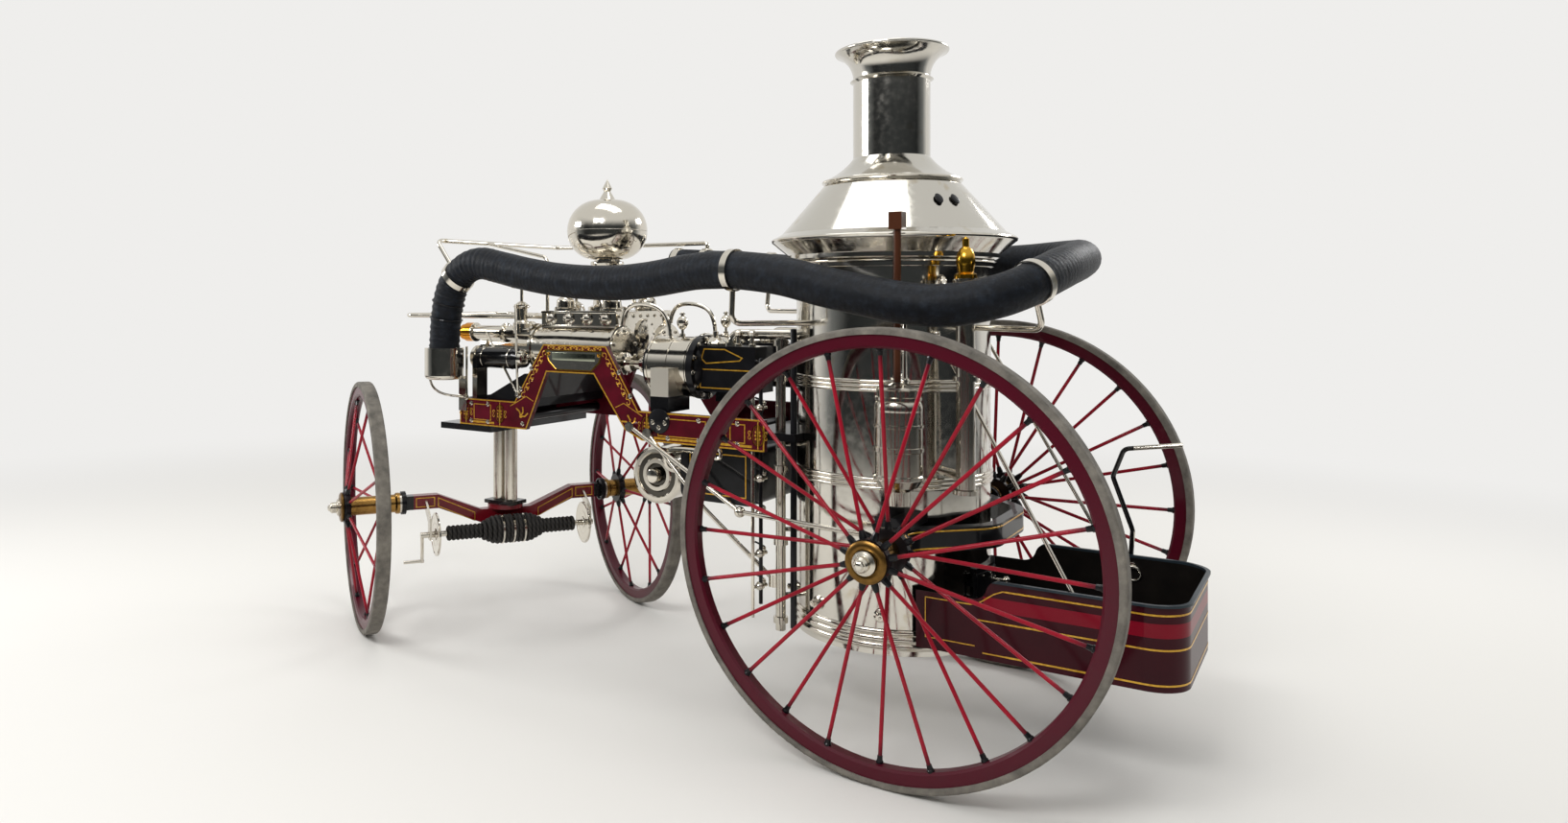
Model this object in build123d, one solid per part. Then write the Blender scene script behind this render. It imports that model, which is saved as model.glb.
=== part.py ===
from build123d import *
import math
import os

# A hand-drawn steam fire engine: an upright boiler over the rear axle, a double steam pump in a
# crane-neck frame, and a fore-carriage that turns under the neck.
# Millimetres. While a piece is made, X is measured from the rear axle and runs to the rear,
# Y runs to the engine's right and Z up from the ground. SHIFT_X then centres the whole engine.

# Running gear
WHEELBASE = 2280
TRACK = 1420
STEER_REST = 33
STEER_LIMIT = 75
REAR_WHEEL_R = 762
FRONT_WHEEL_R = 605
REAR_SPOKES = 24
FRONT_SPOKES = 16
TYRE_WIDTH = 64
TYRE_DEPTH = 24
TYRE_CORNER = 9
RIM_DEPTH = 46
RIM_WIDTH = 52
RIM_CORNER = 8
SPOKE_R = 7
HUB_LENGTH = 330
BARREL_R = 44
SOCKET_RING_R = 74
SOCKET_RING_WIDTH = 30
SOCKET_RING_SPACING = 176
HUB_CAP_R = 34
SPINDLE_R = 24
RUNNING_FIT = 0.1
SEAT_GAP = 0.3

# Frame
FRAME_Y = 360
FRAME_THICK = 24
FRAME_FRONT_X = -2240
FRAME_REAR_X = -600
FRAME_BOTTOM = 1015
FRAME_DEPTH = 125
NECK_RISE = 271
NECK_FOOT_FRONT = -1893
NECK_TOP_FRONT = -1721
NECK_TOP_REAR = -1370
NECK_FOOT_REAR = -1199
NECK_LEG = 70
NECK_SHOULDER_FRONT = 20
NECK_SHOULDER_REAR = 66
PLATE_THICK = 5
PLATE_MARGIN = 22
FRONT_PLATE_THICK = 16
STRETCHER_R = 22
STRETCHER_RISE = 40
STRETCHER_IN = 60
SADDLE_FRONT = 110
SADDLE_REAR = 120
SADDLE_RISE = 45
SADDLE_THICK = 30

# Boiler
BOILER_X = -225
BOILER_R = 375
BOILER_BOTTOM = 310
BOILER_TOP = 1740
FIREBOX_WALL = 34
FIREBOX_FLOOR = 395
FIREBOX_TOP = 850
ASH_PIT_TOP = 375
BAND_THICK = 9
BEAD_HEIGHT = 16
FOOT_BEAD_HEIGHT = 26
FOOT_BAND_Z = 330
LOWER_BAND_Z = 915
UPPER_BAND_Z = 1275
HOOD_R = 468
HOOD_RIM_Z = 1850
HOOD_TOP_R = 262
HOOD_TOP_Z = 2076
STACK_R = 150
STACK_WALL = 8
CROWN_R = 214
CROWN_HEIGHT = 130
STACK_TOP = 2610
DOOR_WIDTH = 240
DOOR_HEIGHT = 160
DOOR_BOTTOM = 455
DOOR_THICK = 14
DOOR_SWING = 110
DOOR_HINGE_Y = -DOOR_WIDTH / 2 - 20
HINGE_STAND = 8
DOOR_HINGE_X = BOILER_X + math.sqrt((BOILER_R + DOOR_THICK + HINGE_STAND) ** 2 - DOOR_HINGE_Y ** 2)
HINGE_PIN_R = 5
KNUCKLE_R = 10
KNUCKLE_HEIGHT = 24
HINGE_KNUCKLES = (DOOR_BOTTOM + 20, DOOR_BOTTOM + DOOR_HEIGHT - 20 - KNUCKLE_HEIGHT)
STRAP_THICK = 5

# Rear axle, bent round the back of the boiler
BOW_REACH = 225
BOW_HALF = 190
BOW_ARM_LENGTH = 115
BOW_THICK = 40
BOW_DEPTH = 84
BOW_BEND = 150
COLLAR_R = 50
COLLAR_THICK = 22

# Coal tray
TRAY_FRONT_X = -40
TRAY_REAR_X = 861
TRAY_Y = 340
TRAY_CORNER = 120
TRAY_BOTTOM = 360
TRAY_TOP = 640
TRAY_LOW_TOP = 565
TRAY_STEP_X = 190
TRAY_STEP_RUN = 110
TRAY_WALL = 5
TRAY_BOILER_GAP = 30
TRAY_SILL = 440
TRAY_LIP = 9
STAY_R = 7
STAY_EYE_R = 13
STAY_ANGLE = 45
STAY_HEAD_Z = 1490
STAY_FOOT_X = 541

# Fore-carriage
AXLE_THICK = 56
AXLE_HALF_DEPTH = 34
AXLE_DROP = 90
AXLE_END_IN = 4.7
AXLE_ARM = 190
AXLE_BEND_IN = 130
KINGPIN_R = 20
TURNTABLE_R = 90
TURNTABLE_THICK = 20
REEL_BACK = 118
REEL_DROP = 143
REEL_HALF = 380
REEL_FLANGE_R = 105
REEL_FLANGE_THICK = 7
REEL_SHAFT_R = 14
REEL_SHAFT_OUT = 52
REEL_ROPE_R = 72
REEL_ROPE_FULL = 90
REEL_ROPE_SLOPE = 60
REEL_ROPE_END = 30
CRANK_OUT = 72
CRANK_R = 8
CRANK_THROW = 125
CRANK_GRIP = 90
HANGER_THICK = 10
HANGER_WIDTH = 48
HANGER_OUT = 34
POLE_R = 30
POLE_SOCKET_R = 44
POLE_SOCKET_LENGTH = 110
POLE_SEAT = 90
POLE_LOW = 20

# Front pedestal of twin cylinders
PEDESTAL_R = 34
PEDESTAL_PITCH = 74
PEDESTAL_TOP = 985
BASE_PLATE_THICK = 18
BASE_PLATE_HALF = 90
BASE_PLATE_WIDTH = 120
TOP_PLATE_REAR = 240
TOP_PLATE_OVER = 12

# Boiler mountings on the left side
CANISTER_X = -30
CANISTER_Y = -447
CANISTER_R = 85
CANISTER_FOOT = 886
CANISTER_TOP = 1320
RELIEF_PIPE_R = 13
RELIEF_PIPE_Y = -458
RELIEF_PIPE_TOP = 1925
COLUMN_X = 171
COLUMN_Y = -330
COLUMN_R = 33
COLUMN_FOOT = 928
COLUMN_TOP = 1690
WHISTLE_HEIGHT = 150
WATER_COLUMN_X = -575
WATER_COLUMN_Y = -280
WATER_COLUMN_R = 20
WATER_COLUMN_FOOT = 300
WATER_COLUMN_TOP = 1460
WATER_RING_Z = (WATER_COLUMN_FOOT + 30, 640, 930, 1290, WATER_COLUMN_TOP - 30)
WATER_STUD_Z = (WATER_COLUMN_FOOT + 140, 700, 1040, WATER_COLUMN_TOP - 80)
STUD_R = 9

# Trusses under the frame
TRUSS_R = 9
TRUSS_EYE_R = 22
TRUSS_EYE_THICK = 20
TRUSS_KNEE_X = -869
TRUSS_KNEE_Z = 767
TRUSS_HEAD_X = -1233
TRUSS_HEAD_Z = 1072
TRUSS_NODE_X = -680
TRUSS_NODE_Y = 425
TRUSS_NODE_Z = 780
TRUSS_AXLE_Y = 470
LOWER_TRUSS_X = -1213
LOWER_TRUSS_FOOT_Z = 492

# Tanks and drum under the frame
TANK_FRONT_X = -1050
TANK_REAR_X = -690
TANK_BOTTOM = 770
TANK_TOP = 1005
TANK_Y = 270
TANK_CORNER = 38
DRUM_X = -1180
DRUM_Z = 854
DRUM_R = 118
DRUM_Y = 262

# Pump and steam end
CYLINDER_Y = 190
CYLINDER_Z = 1325
CYLINDER_R = 130
JACKET_FRONT_X = -1205
JACKET_LENGTH = 210
CHEST_LENGTH = 300
CHEST_HEIGHT = 190
CHEST_WIDTH = 160
HEAD_OVER = 6
HEAD_THICK = 30
CYLINDER_FOOT_IN = 60
CYLINDER_FOOT_LENGTH = 90
GLAND_OUT = 60
PUMP_X = -1632
PUMP_LENGTH = 430
PUMP_WIDTH = 460
PUMP_BOTTOM = 1290
PUMP_TOP = 1560
PUMP_HEAD_OUT = 20
PUMP_BARREL_R = 105
PUMP_BARREL_RISE = 60
VALVE_CAP_R = 55
VALVE_CAP_HEIGHT = 84
VALVE_CAP_X = (-138, 132)
VALVE_CAP_Y = 145
ROD_R = 17
AIR_BULB_R = 192
AIR_BULB_Z = 1940
AIR_BELLY = 137
AIR_NECK_R = 62
AIR_FLANGE_R = 92
AIR_FLANGE_THICK = 18

# Pump connections
OUTLET_Y = 215
OUTLET_Z = 1452
OUTLET_R = 35
OUTLET_FRONT_X = -2360
OUTLET_THREAD_R = 39
OUTLET_THREAD = 26
OUTLET_COLLAR = 12
OUTLET_VALVE_X = -1985
OUTLET_VALVE_R = 42
OUTLET_VALVE_TOP = 1690
INLET_Z = 1372
INLET_R = 66
INLET_FRONT_X = -2400
STEAM_PIPE_R = 21
STEAM_PIPE_Y = 120
STEAM_PIPE_Z = 1470
TOE_FRONT_X = -2085
TOE_RISE = 130
TOE_THICK = 12
LEVER_X = 565
LEVER_TOP = 1040
LEVER_R = 9
FRONT_CYLINDER_X = -2200
FRONT_CYLINDER_Y = 300
FRONT_CYLINDER_Z = 1335
FRONT_CYLINDER_R = 50
FRONT_CYLINDER_LENGTH = 280
FRONT_CYLINDER_FOOT = 30

# Hand rail and hose cradle
RAIL_R = 11
HAND_RAIL_X = -2640
HAND_RAIL_Z = 1535
HAND_RAIL_Y = 385
RAIL_ROOT_Y = 140
RAIL_ROOT_DROP = 30
CRADLE_X = -2300
CRADLE_Z = 1897
STRAP_WIDTH = 28
STRAP_WALL = 6
HOOK_BEND = 38
HOOK_DROP = 130
REAR_HOOK_DROP = 95

# Suction hose
HOSE_R = 75
CUP_X = -2250
CUP_Y = -470
CUP_Z = 1235
CUP_R = 93
CUP_HEIGHT = 150

# Taller than the engine, for cuts that go right through
TALL = 4000

KINGPIN_X = -WHEELBASE
STACK_FOOT_Z = HOOD_TOP_Z + 104
CROWN_Z = STACK_TOP - CROWN_HEIGHT
AXLE_REACH = TRACK / 2 - HUB_LENGTH / 2 - SEAT_GAP
AXLE_END = AXLE_REACH - AXLE_END_IN
AXLE_BEND_OUT = AXLE_END - AXLE_ARM
BOW_ARM_Y = AXLE_REACH - BOW_ARM_LENGTH
REEL_Z = FRONT_WHEEL_R - REEL_DROP
FRONT_REACH = (
    WHEELBASE
    + TRACK / 2 * math.sin(math.radians(STEER_REST))
    + (FRONT_WHEEL_R - TYRE_CORNER) * math.cos(math.radians(STEER_REST))
    + (TYRE_WIDTH / 2 - TYRE_CORNER) * math.sin(math.radians(STEER_REST))
    + TYRE_CORNER
)
SHIFT_X = (FRONT_REACH - TRAY_REAR_X - TRAY_LIP) / 2
AXLE_MID_Z = FRONT_WHEEL_R - AXLE_DROP
AXLE_MID_TOP = AXLE_MID_Z + AXLE_HALF_DEPTH
TURNTABLE_TOP = AXLE_MID_TOP + TURNTABLE_THICK
PEDESTAL_BASE = TURNTABLE_TOP + SEAT_GAP
FRAME_TOP = FRAME_BOTTOM + FRAME_DEPTH
NECK_TOP = FRAME_TOP + NECK_RISE
FRAME_INNER = FRAME_Y - FRAME_THICK / 2
STRETCHER_Z = FRAME_BOTTOM + STRETCHER_RISE
STRETCHER_UNDER = STRETCHER_Z - STRETCHER_R - SEAT_GAP


def block(x, y, z):
    """A box from three (low, high) pairs."""
    size = Box(x[1] - x[0], y[1] - y[0], z[1] - z[0])
    return Pos((x[0] + x[1]) / 2, (y[0] + y[1]) / 2, (z[0] + z[1]) / 2) * size


def rod(start, end, radius):
    """A round bar from one point to another."""
    start, end = Vector(*start), Vector(*end)
    return extrude(Plane(origin=start, z_dir=end - start) * Circle(radius), amount=(end - start).length)


def bent_rod(points, radius, bend):
    """A round bar along straight runs joined by arcs of one radius, or one radius each."""
    path = FilletPolyline(*points, radius=bend)
    return sweep(Plane(origin=path @ 0, z_dir=path % 0) * Circle(radius), path=path)


def outline(points):
    """A closed face in XZ. A point of four numbers is an arc's end and the point it passes."""
    edges = []
    for before, after in zip(points, points[1:] + points[:1]):
        start, end = before[:2], after[:2]
        edges.append(ThreePointArc(start, after[2:], end) if len(after) == 4 else Line(start, end))
    return Plane.XZ * make_face(edges)


def turned(points):
    """A solid of revolution about Z from (radius, height) points."""
    return revolve(outline(points), Axis.Z)


def side_plate(points, thick):
    """A plate cut to an outline in XZ, with Y = 0 in its middle."""
    return extrude(outline(points), amount=thick / 2, both=True)


def on_wheel(points):
    """A solid of revolution about Y from (radius, distance along the axle) points."""
    return Rot(X=-90) * turned(points)


def ring_profile(inner, outer, half, corner):
    """A ring's section, square inside and with rounded outer corners."""
    cut = corner * (1 - math.sqrt(0.5))
    return [
        (inner, -half),
        (outer - corner, -half),
        (outer, -half + corner, outer - cut, -half + cut),
        (outer, half - corner),
        (outer - corner, half, outer - cut, half - cut),
        (inner, half),
    ]


# Wheels. Each is made about its own centre with its outer face towards +Y.
def tyre(radius):
    return on_wheel(ring_profile(radius - TYRE_DEPTH, radius, TYRE_WIDTH / 2, TYRE_CORNER))


def spoked_wheel(radius, spokes):
    """Rim, two spoke socket rings and the spokes that join them, alternately outer and inner."""
    rim_outer = radius - TYRE_DEPTH - RUNNING_FIT
    rim_inner = rim_outer - RIM_DEPTH
    half = RIM_WIDTH / 2
    wheel = on_wheel([
        (rim_inner, -half + RIM_CORNER),
        (rim_inner + RIM_CORNER, -half),
        (rim_outer, -half),
        (rim_outer, half),
        (rim_inner + RIM_CORNER, half),
        (rim_inner, half - RIM_CORNER),
    ])
    for side in (-1, 1):
        middle = side * SOCKET_RING_SPACING / 2
        wheel += Pos(0, middle, 0) * on_wheel([
            (BARREL_R + RUNNING_FIT, -SOCKET_RING_WIDTH / 2),
            (SOCKET_RING_R, -SOCKET_RING_WIDTH / 2),
            (SOCKET_RING_R, SOCKET_RING_WIDTH / 2),
            (BARREL_R + RUNNING_FIT, SOCKET_RING_WIDTH / 2),
        ])
    bars = []
    for number in range(spokes):
        angle = 2 * math.pi * number / spokes
        side = 1 if number % 2 else -1
        across, up = math.cos(angle), math.sin(angle)
        foot = SOCKET_RING_R - SOCKET_RING_WIDTH / 2
        head = rim_inner + RIM_DEPTH / 2
        bars.append(rod(
            (foot * across, side * SOCKET_RING_SPACING / 2, foot * up),
            (head * across, side * SPOKE_R, head * up),
            SPOKE_R,
        ))
    return wheel.fuse(*bars)


def hub():
    """Stepped barrel with its closed cap outside and the spindle's bore inside."""
    half = HUB_LENGTH / 2
    bore = SPINDLE_R + RUNNING_FIT
    bore_end = half - 40
    return on_wheel([
        (bore, -half),
        (BARREL_R + 8, -half),
        (BARREL_R + 8, -half + 14),
        (BARREL_R, -half + 22),
        (BARREL_R, half - 62),
        (HUB_CAP_R + 6, half - 54),
        (HUB_CAP_R + 6, half - 34),
        (HUB_CAP_R - 8, half - 28),
        (HUB_CAP_R - 8, half - 8),
        (HUB_CAP_R - 14, half),
        (0, half),
        (0, bore_end),
        (bore, bore_end),
    ])


# Frame
def frame_side():
    """One crane-neck side plate."""
    bottom, top = FRAME_BOTTOM, FRAME_TOP
    under = NECK_TOP - FRAME_DEPTH
    return side_plate([
        (FRAME_FRONT_X, bottom),
        (FRAME_FRONT_X, top),
        (NECK_FOOT_FRONT, top),
        (NECK_TOP_FRONT, NECK_TOP),
        (NECK_TOP_REAR, NECK_TOP),
        (NECK_FOOT_REAR, top),
        (FRAME_REAR_X, top),
        (FRAME_REAR_X, bottom),
        (NECK_FOOT_REAR + 20, bottom),
        (NECK_FOOT_REAR - NECK_LEG, bottom + 40),
        (NECK_TOP_REAR - NECK_SHOULDER_REAR, under),
        (NECK_TOP_FRONT + NECK_SHOULDER_FRONT, under),
        (NECK_FOOT_FRONT + NECK_LEG, bottom),
    ], FRAME_THICK)


def neck_plates():
    """The blank polished plates on both sides of the neck."""
    low = NECK_TOP - FRAME_DEPTH - 20
    shape = side_plate([
        (NECK_TOP_FRONT + 12, NECK_TOP - PLATE_MARGIN),
        (NECK_TOP_REAR - 12, NECK_TOP - PLATE_MARGIN),
        (NECK_TOP_REAR - 30, low + 70),
        (NECK_TOP_REAR - 75, low + 30),
        (NECK_TOP_FRONT + 75, low + 30),
        (NECK_TOP_FRONT + 30, low + 70),
    ], PLATE_THICK)
    out = FRAME_Y + FRAME_THICK / 2 + PLATE_THICK / 2
    return Compound([Pos(0, side * out, 0) * shape for side in (-1, 1)])


def cross_members():
    """Front plate, two round stretchers and the saddle that clasps the boiler."""
    inner = FRAME_INNER
    pieces = [block((FRAME_FRONT_X, FRAME_FRONT_X + FRONT_PLATE_THICK), (-inner, inner), (FRAME_BOTTOM, FRAME_TOP))]
    front_x = NECK_FOOT_FRONT - STRETCHER_IN
    for x in (front_x, NECK_FOOT_REAR + STRETCHER_IN, (TANK_FRONT_X + TANK_REAR_X) / 2):
        pieces.append(rod((x, -inner, STRETCHER_Z), (x, inner, STRETCHER_Z), STRETCHER_R))
    low = FRAME_BOTTOM + SADDLE_RISE
    saddle = block((FRAME_REAR_X - SADDLE_FRONT, FRAME_REAR_X + SADDLE_REAR), (-inner, inner), (low, low + SADDLE_THICK))
    saddle -= Pos(BOILER_X, 0, 0) * Cylinder(BOILER_R + SEAT_GAP, TALL)
    for side in (-1, 1):
        saddle -= Pos(WATER_COLUMN_X, side * WATER_COLUMN_Y, 0) * Cylinder(WATER_COLUMN_R + SEAT_GAP, TALL)
    pieces.append(saddle)
    slope = (NECK_TOP_FRONT - NECK_FOOT_FRONT) / NECK_RISE
    low, rear = FRAME_TOP - 40, NECK_FOOT_FRONT - 20
    toe = side_plate([
        (TOE_FRONT_X, low), (rear, low), (rear, FRAME_TOP), (rear + slope * TOE_RISE, FRAME_TOP + TOE_RISE),
        (rear + slope * TOE_RISE - 2 * TOE_THICK, FRAME_TOP + TOE_RISE),
        (TOE_FRONT_X, FRAME_TOP + TOE_THICK),
    ], 2 * (inner - SEAT_GAP))
    hollow = side_plate([
        (TOE_FRONT_X + 2 * TOE_THICK, low - 10), (rear - TOE_THICK, low - 10), (rear - TOE_THICK, FRAME_TOP),
        (TOE_FRONT_X + 2 * TOE_THICK, FRAME_TOP - TOE_THICK / 2),
    ], 2 * (inner - 2 * TOE_THICK))
    clear = rod((front_x, -inner, STRETCHER_Z), (front_x, inner, STRETCHER_Z), STRETCHER_R + SEAT_GAP)
    pieces.append(toe - hollow - clear)
    return Compound(pieces)


# Boiler
def boiler_shell():
    """Upright shell, hollow at the firebox, with its fire hole at the back and open ash pit."""
    shell = turned([(0, BOILER_BOTTOM), (BOILER_R, BOILER_BOTTOM), (BOILER_R, BOILER_TOP), (0, BOILER_TOP)])
    inner = BOILER_R - FIREBOX_WALL
    shell -= turned([(0, FIREBOX_FLOOR), (inner, FIREBOX_FLOOR), (inner, FIREBOX_TOP), (0, FIREBOX_TOP)])
    shell -= turned([(0, BOILER_BOTTOM), (inner, BOILER_BOTTOM), (inner, ASH_PIT_TOP), (0, ASH_PIT_TOP)])
    hole = block((0, BOILER_R + 10), (-DOOR_WIDTH / 2 + 20, DOOR_WIDTH / 2 - 20),
                 (DOOR_BOTTOM + 20, DOOR_BOTTOM + DOOR_HEIGHT - 20))
    return Pos(BOILER_X, 0, 0) * (shell - hole)


def boiler_bands():
    """Three polished bands, each of three beads."""
    bands = []
    for low, height in ((FOOT_BAND_Z, FOOT_BEAD_HEIGHT), (LOWER_BAND_Z, BEAD_HEIGHT), (UPPER_BAND_Z, BEAD_HEIGHT)):
        start = BOILER_R + RUNNING_FIT
        profile = [(start, low)]
        for bead in range(3):
            z = low + bead * height
            profile += [
                (BOILER_R + 4, z),
                (BOILER_R + 4, z + height - 2, BOILER_R + BAND_THICK, z + height / 2 - 1),
            ]
        profile += [(start, low + 3 * height - 2)]
        bands.append(Pos(BOILER_X, 0, 0) * turned(profile))
    return Compound(bands)


def smoke_hood():
    """Flared hood, stack and rolled crown, open down the flue."""
    bore = STACK_R - STACK_WALL
    hood = turned([
        (0, BOILER_TOP),
        (BOILER_R + 14, BOILER_TOP),
        (BOILER_R + 14, BOILER_TOP + 22),
        (BOILER_R + 34, BOILER_TOP + 34),
        (BOILER_R + 34, BOILER_TOP + 50),
        (HOOD_R, HOOD_RIM_Z - 12),
        (HOOD_R, HOOD_RIM_Z + 8, HOOD_R + 7, HOOD_RIM_Z - 2),
        (HOOD_R - 34, HOOD_RIM_Z + 26),
        (HOOD_TOP_R, HOOD_TOP_Z),
        (HOOD_TOP_R + 10, HOOD_TOP_Z + 6),
        (HOOD_TOP_R, HOOD_TOP_Z + 16),
        (STACK_R, STACK_FOOT_Z, STACK_R + 44, HOOD_TOP_Z + 58),
        (STACK_R, CROWN_Z),
        (STACK_R + 12, CROWN_Z + 8),
        (STACK_R, CROWN_Z + 18),
        (CROWN_R, STACK_TOP - 14, STACK_R + 14, STACK_TOP - 60),
        (CROWN_R, STACK_TOP, CROWN_R + 8, STACK_TOP - 7),
        (CROWN_R - 12, STACK_TOP),
        (bore, CROWN_Z + 18, STACK_R, STACK_TOP - 62),
        (bore, STACK_FOOT_Z),
        (0, STACK_FOOT_Z),
    ])
    return Pos(BOILER_X, 0, 0) * hood


def fire_door():
    """Arched plate door that lies on the shell's curve, with its two hinge straps."""
    outer = BOILER_R + SEAT_GAP + DOOR_THICK
    curve = Cylinder(outer, TALL) - Cylinder(BOILER_R + SEAT_GAP, TALL)
    front = block((0, outer), (-DOOR_WIDTH / 2, DOOR_WIDTH / 2), (DOOR_BOTTOM, DOOR_BOTTOM + DOOR_HEIGHT))
    door = Pos(BOILER_X, 0, 0) * (curve & front)
    strap_curve = Cylinder(outer + STRAP_THICK, TALL) - Cylinder(outer - 1, TALL)
    pin = Cylinder(HINGE_PIN_R + RUNNING_FIT, TALL)
    for low in HINGE_KNUCKLES:
        z = (low, low + KNUCKLE_HEIGHT)
        strap = Pos(BOILER_X, 0, 0) * (strap_curve & block((0, 999), (DOOR_HINGE_Y, DOOR_WIDTH / 3), z))
        knuckle = rod((DOOR_HINGE_X, DOOR_HINGE_Y, z[0]), (DOOR_HINGE_X, DOOR_HINGE_Y, z[1]), KNUCKLE_R)
        door += strap + knuckle
    return door - Pos(DOOR_HINGE_X, DOOR_HINGE_Y, 0) * pin


def door_hinge():
    """Hinge pin in two lugs that stand out of the shell between the door's knuckles."""
    low, high = HINGE_KNUCKLES[0] - 8, HINGE_KNUCKLES[1] + KNUCKLE_HEIGHT + 8
    hinge = rod((DOOR_HINGE_X, DOOR_HINGE_Y, low), (DOOR_HINGE_X, DOOR_HINGE_Y, high), HINGE_PIN_R)
    direction = math.degrees(math.atan2(DOOR_HINGE_Y, DOOR_HINGE_X - BOILER_X))
    reach = BOILER_R + DOOR_THICK + HINGE_STAND
    gap = KNUCKLE_HEIGHT + SEAT_GAP
    for z in ((HINGE_KNUCKLES[0] + gap, HINGE_KNUCKLES[0] + gap + 18), (HINGE_KNUCKLES[1] - 18 - SEAT_GAP, HINGE_KNUCKLES[1] - SEAT_GAP)):
        arm = block((BOILER_R - 40, reach), (-6, 6), z) - Cylinder(BOILER_R + SEAT_GAP, TALL)
        hinge += Pos(BOILER_X, 0, 0) * Rot(Z=direction) * arm
        hinge += rod((DOOR_HINGE_X, DOOR_HINGE_Y, z[0]), (DOOR_HINGE_X, DOOR_HINGE_Y, z[1]), KNUCKLE_R)
    return hinge


# Rear axle
def rear_axle():
    """Bowed flat bar with a collar and a spindle at each end."""
    reach = AXLE_REACH
    path = FilletPolyline(
        (0, -reach), (0, -BOW_ARM_Y), (BOW_REACH, -BOW_HALF),
        (BOW_REACH, BOW_HALF), (0, BOW_ARM_Y), (0, reach),
        radius=BOW_BEND,
    )
    section = Plane(origin=path @ 0, z_dir=path % 0, x_dir=(1, 0, 0)) * Rectangle(BOW_THICK, BOW_DEPTH)
    bar = sweep(section, path=path)
    for side in (-1, 1):
        bar += rod((0, side * (reach - COLLAR_THICK), 0), (0, side * reach, 0), COLLAR_R)
        bar += rod((0, side * (reach - 5), 0), (0, side * (TRACK / 2 + HUB_LENGTH / 2 - 45), 0), SPINDLE_R)
    return Pos(0, 0, REAR_WHEEL_R) * bar


def boiler_feet():
    """Cast feet that carry the boiler on the axle's arms."""
    top = REAR_WHEEL_R + BOW_DEPTH / 2
    feet = []
    for side in (-1, 1):
        y = sorted((side * 150, side * (BOW_ARM_Y + 40)))
        foot = block((-110, 20), y, (top + SEAT_GAP, top + 36))
        rib = block((-70, -50), y, (top + 30, top + 76))
        foot = foot + rib
        feet.append(foot - Pos(BOILER_X, 0, 0) * Cylinder(BOILER_R + SEAT_GAP, TALL))
    return Compound(feet)


# Coal tray
def tray_plan(inset, boiler_gap):
    """The tray's plan, with a front edge that follows the boiler."""
    length = TRAY_REAR_X - TRAY_FRONT_X - inset
    plan = Pos((TRAY_FRONT_X + TRAY_REAR_X - inset) / 2, 0) * Rectangle(length, 2 * (TRAY_Y - inset))
    rear = plan.vertices().group_by(Axis.X)[-1]
    plan = fillet(rear, TRAY_CORNER - inset)
    return plan - Pos(BOILER_X, 0) * Circle(BOILER_R + boiler_gap)


def coal_tray():
    """Open tray, lower at its front, with a rolled lip round its higher rear part."""
    height = TRAY_TOP - TRAY_BOTTOM
    outer = extrude(Pos(0, 0, TRAY_BOTTOM) * tray_plan(0, TRAY_BOILER_GAP), amount=height)
    hollow = Pos(0, 0, TRAY_BOTTOM + TRAY_WALL) * tray_plan(TRAY_WALL, TRAY_BOILER_GAP + TRAY_WALL)
    tray = outer - extrude(hollow, amount=height)
    lip = extrude(Pos(0, 0, TRAY_TOP - 8) * offset(tray_plan(0, TRAY_BOILER_GAP), amount=TRAY_LIP), amount=8)
    lip -= extrude(Pos(0, 0, TRAY_TOP - 10) * tray_plan(TRAY_WALL, TRAY_BOILER_GAP + TRAY_WALL), amount=20)
    tray += lip
    inner = TRAY_Y - TRAY_WALL
    sill = Cylinder(BOILER_R + TRAY_BOILER_GAP + TRAY_WALL + 1, 2000) & block((0, 1000), (-inner, inner), (TRAY_SILL, 999))
    tray -= Pos(BOILER_X, 0, 0) * sill
    mid_x = TRAY_STEP_X + TRAY_STEP_RUN / 2
    mid_z = (TRAY_TOP + TRAY_LOW_TOP) / 2
    bow_out = TRAY_STEP_RUN / 6
    gone = side_plate([
        (TRAY_FRONT_X - 100, TRAY_LOW_TOP),
        (TRAY_STEP_X, TRAY_LOW_TOP),
        (mid_x, mid_z, TRAY_STEP_X + TRAY_STEP_RUN / 4 + bow_out / 2, mid_z - TRAY_STEP_RUN / 4),
        (TRAY_STEP_X + TRAY_STEP_RUN, TRAY_TOP, mid_x + TRAY_STEP_RUN / 4 - bow_out / 2, mid_z + TRAY_STEP_RUN / 4),
        (TRAY_STEP_X + TRAY_STEP_RUN, TRAY_TOP + 50),
        (TRAY_FRONT_X - 100, TRAY_TOP + 50),
    ], 3 * TRAY_Y)
    return tray - gone


def tray_stays():
    """Thin stays from the boiler's upper band to the tray."""
    stays = []
    reach = BOILER_R + SEAT_GAP + STAY_EYE_R
    angle = math.radians(STAY_ANGLE)
    foot_y = TRAY_Y - TRAY_WALL - SEAT_GAP - STAY_R
    for side in (-1, 1):
        head = (BOILER_X + reach * math.cos(angle), side * reach * math.sin(angle), STAY_HEAD_Z)
        stay = rod(head, (STAY_FOOT_X, side * foot_y, TRAY_TOP - 40), STAY_R)
        stays.append(stay + Pos(*head) * Sphere(STAY_EYE_R))
    return Compound(stays)


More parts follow.
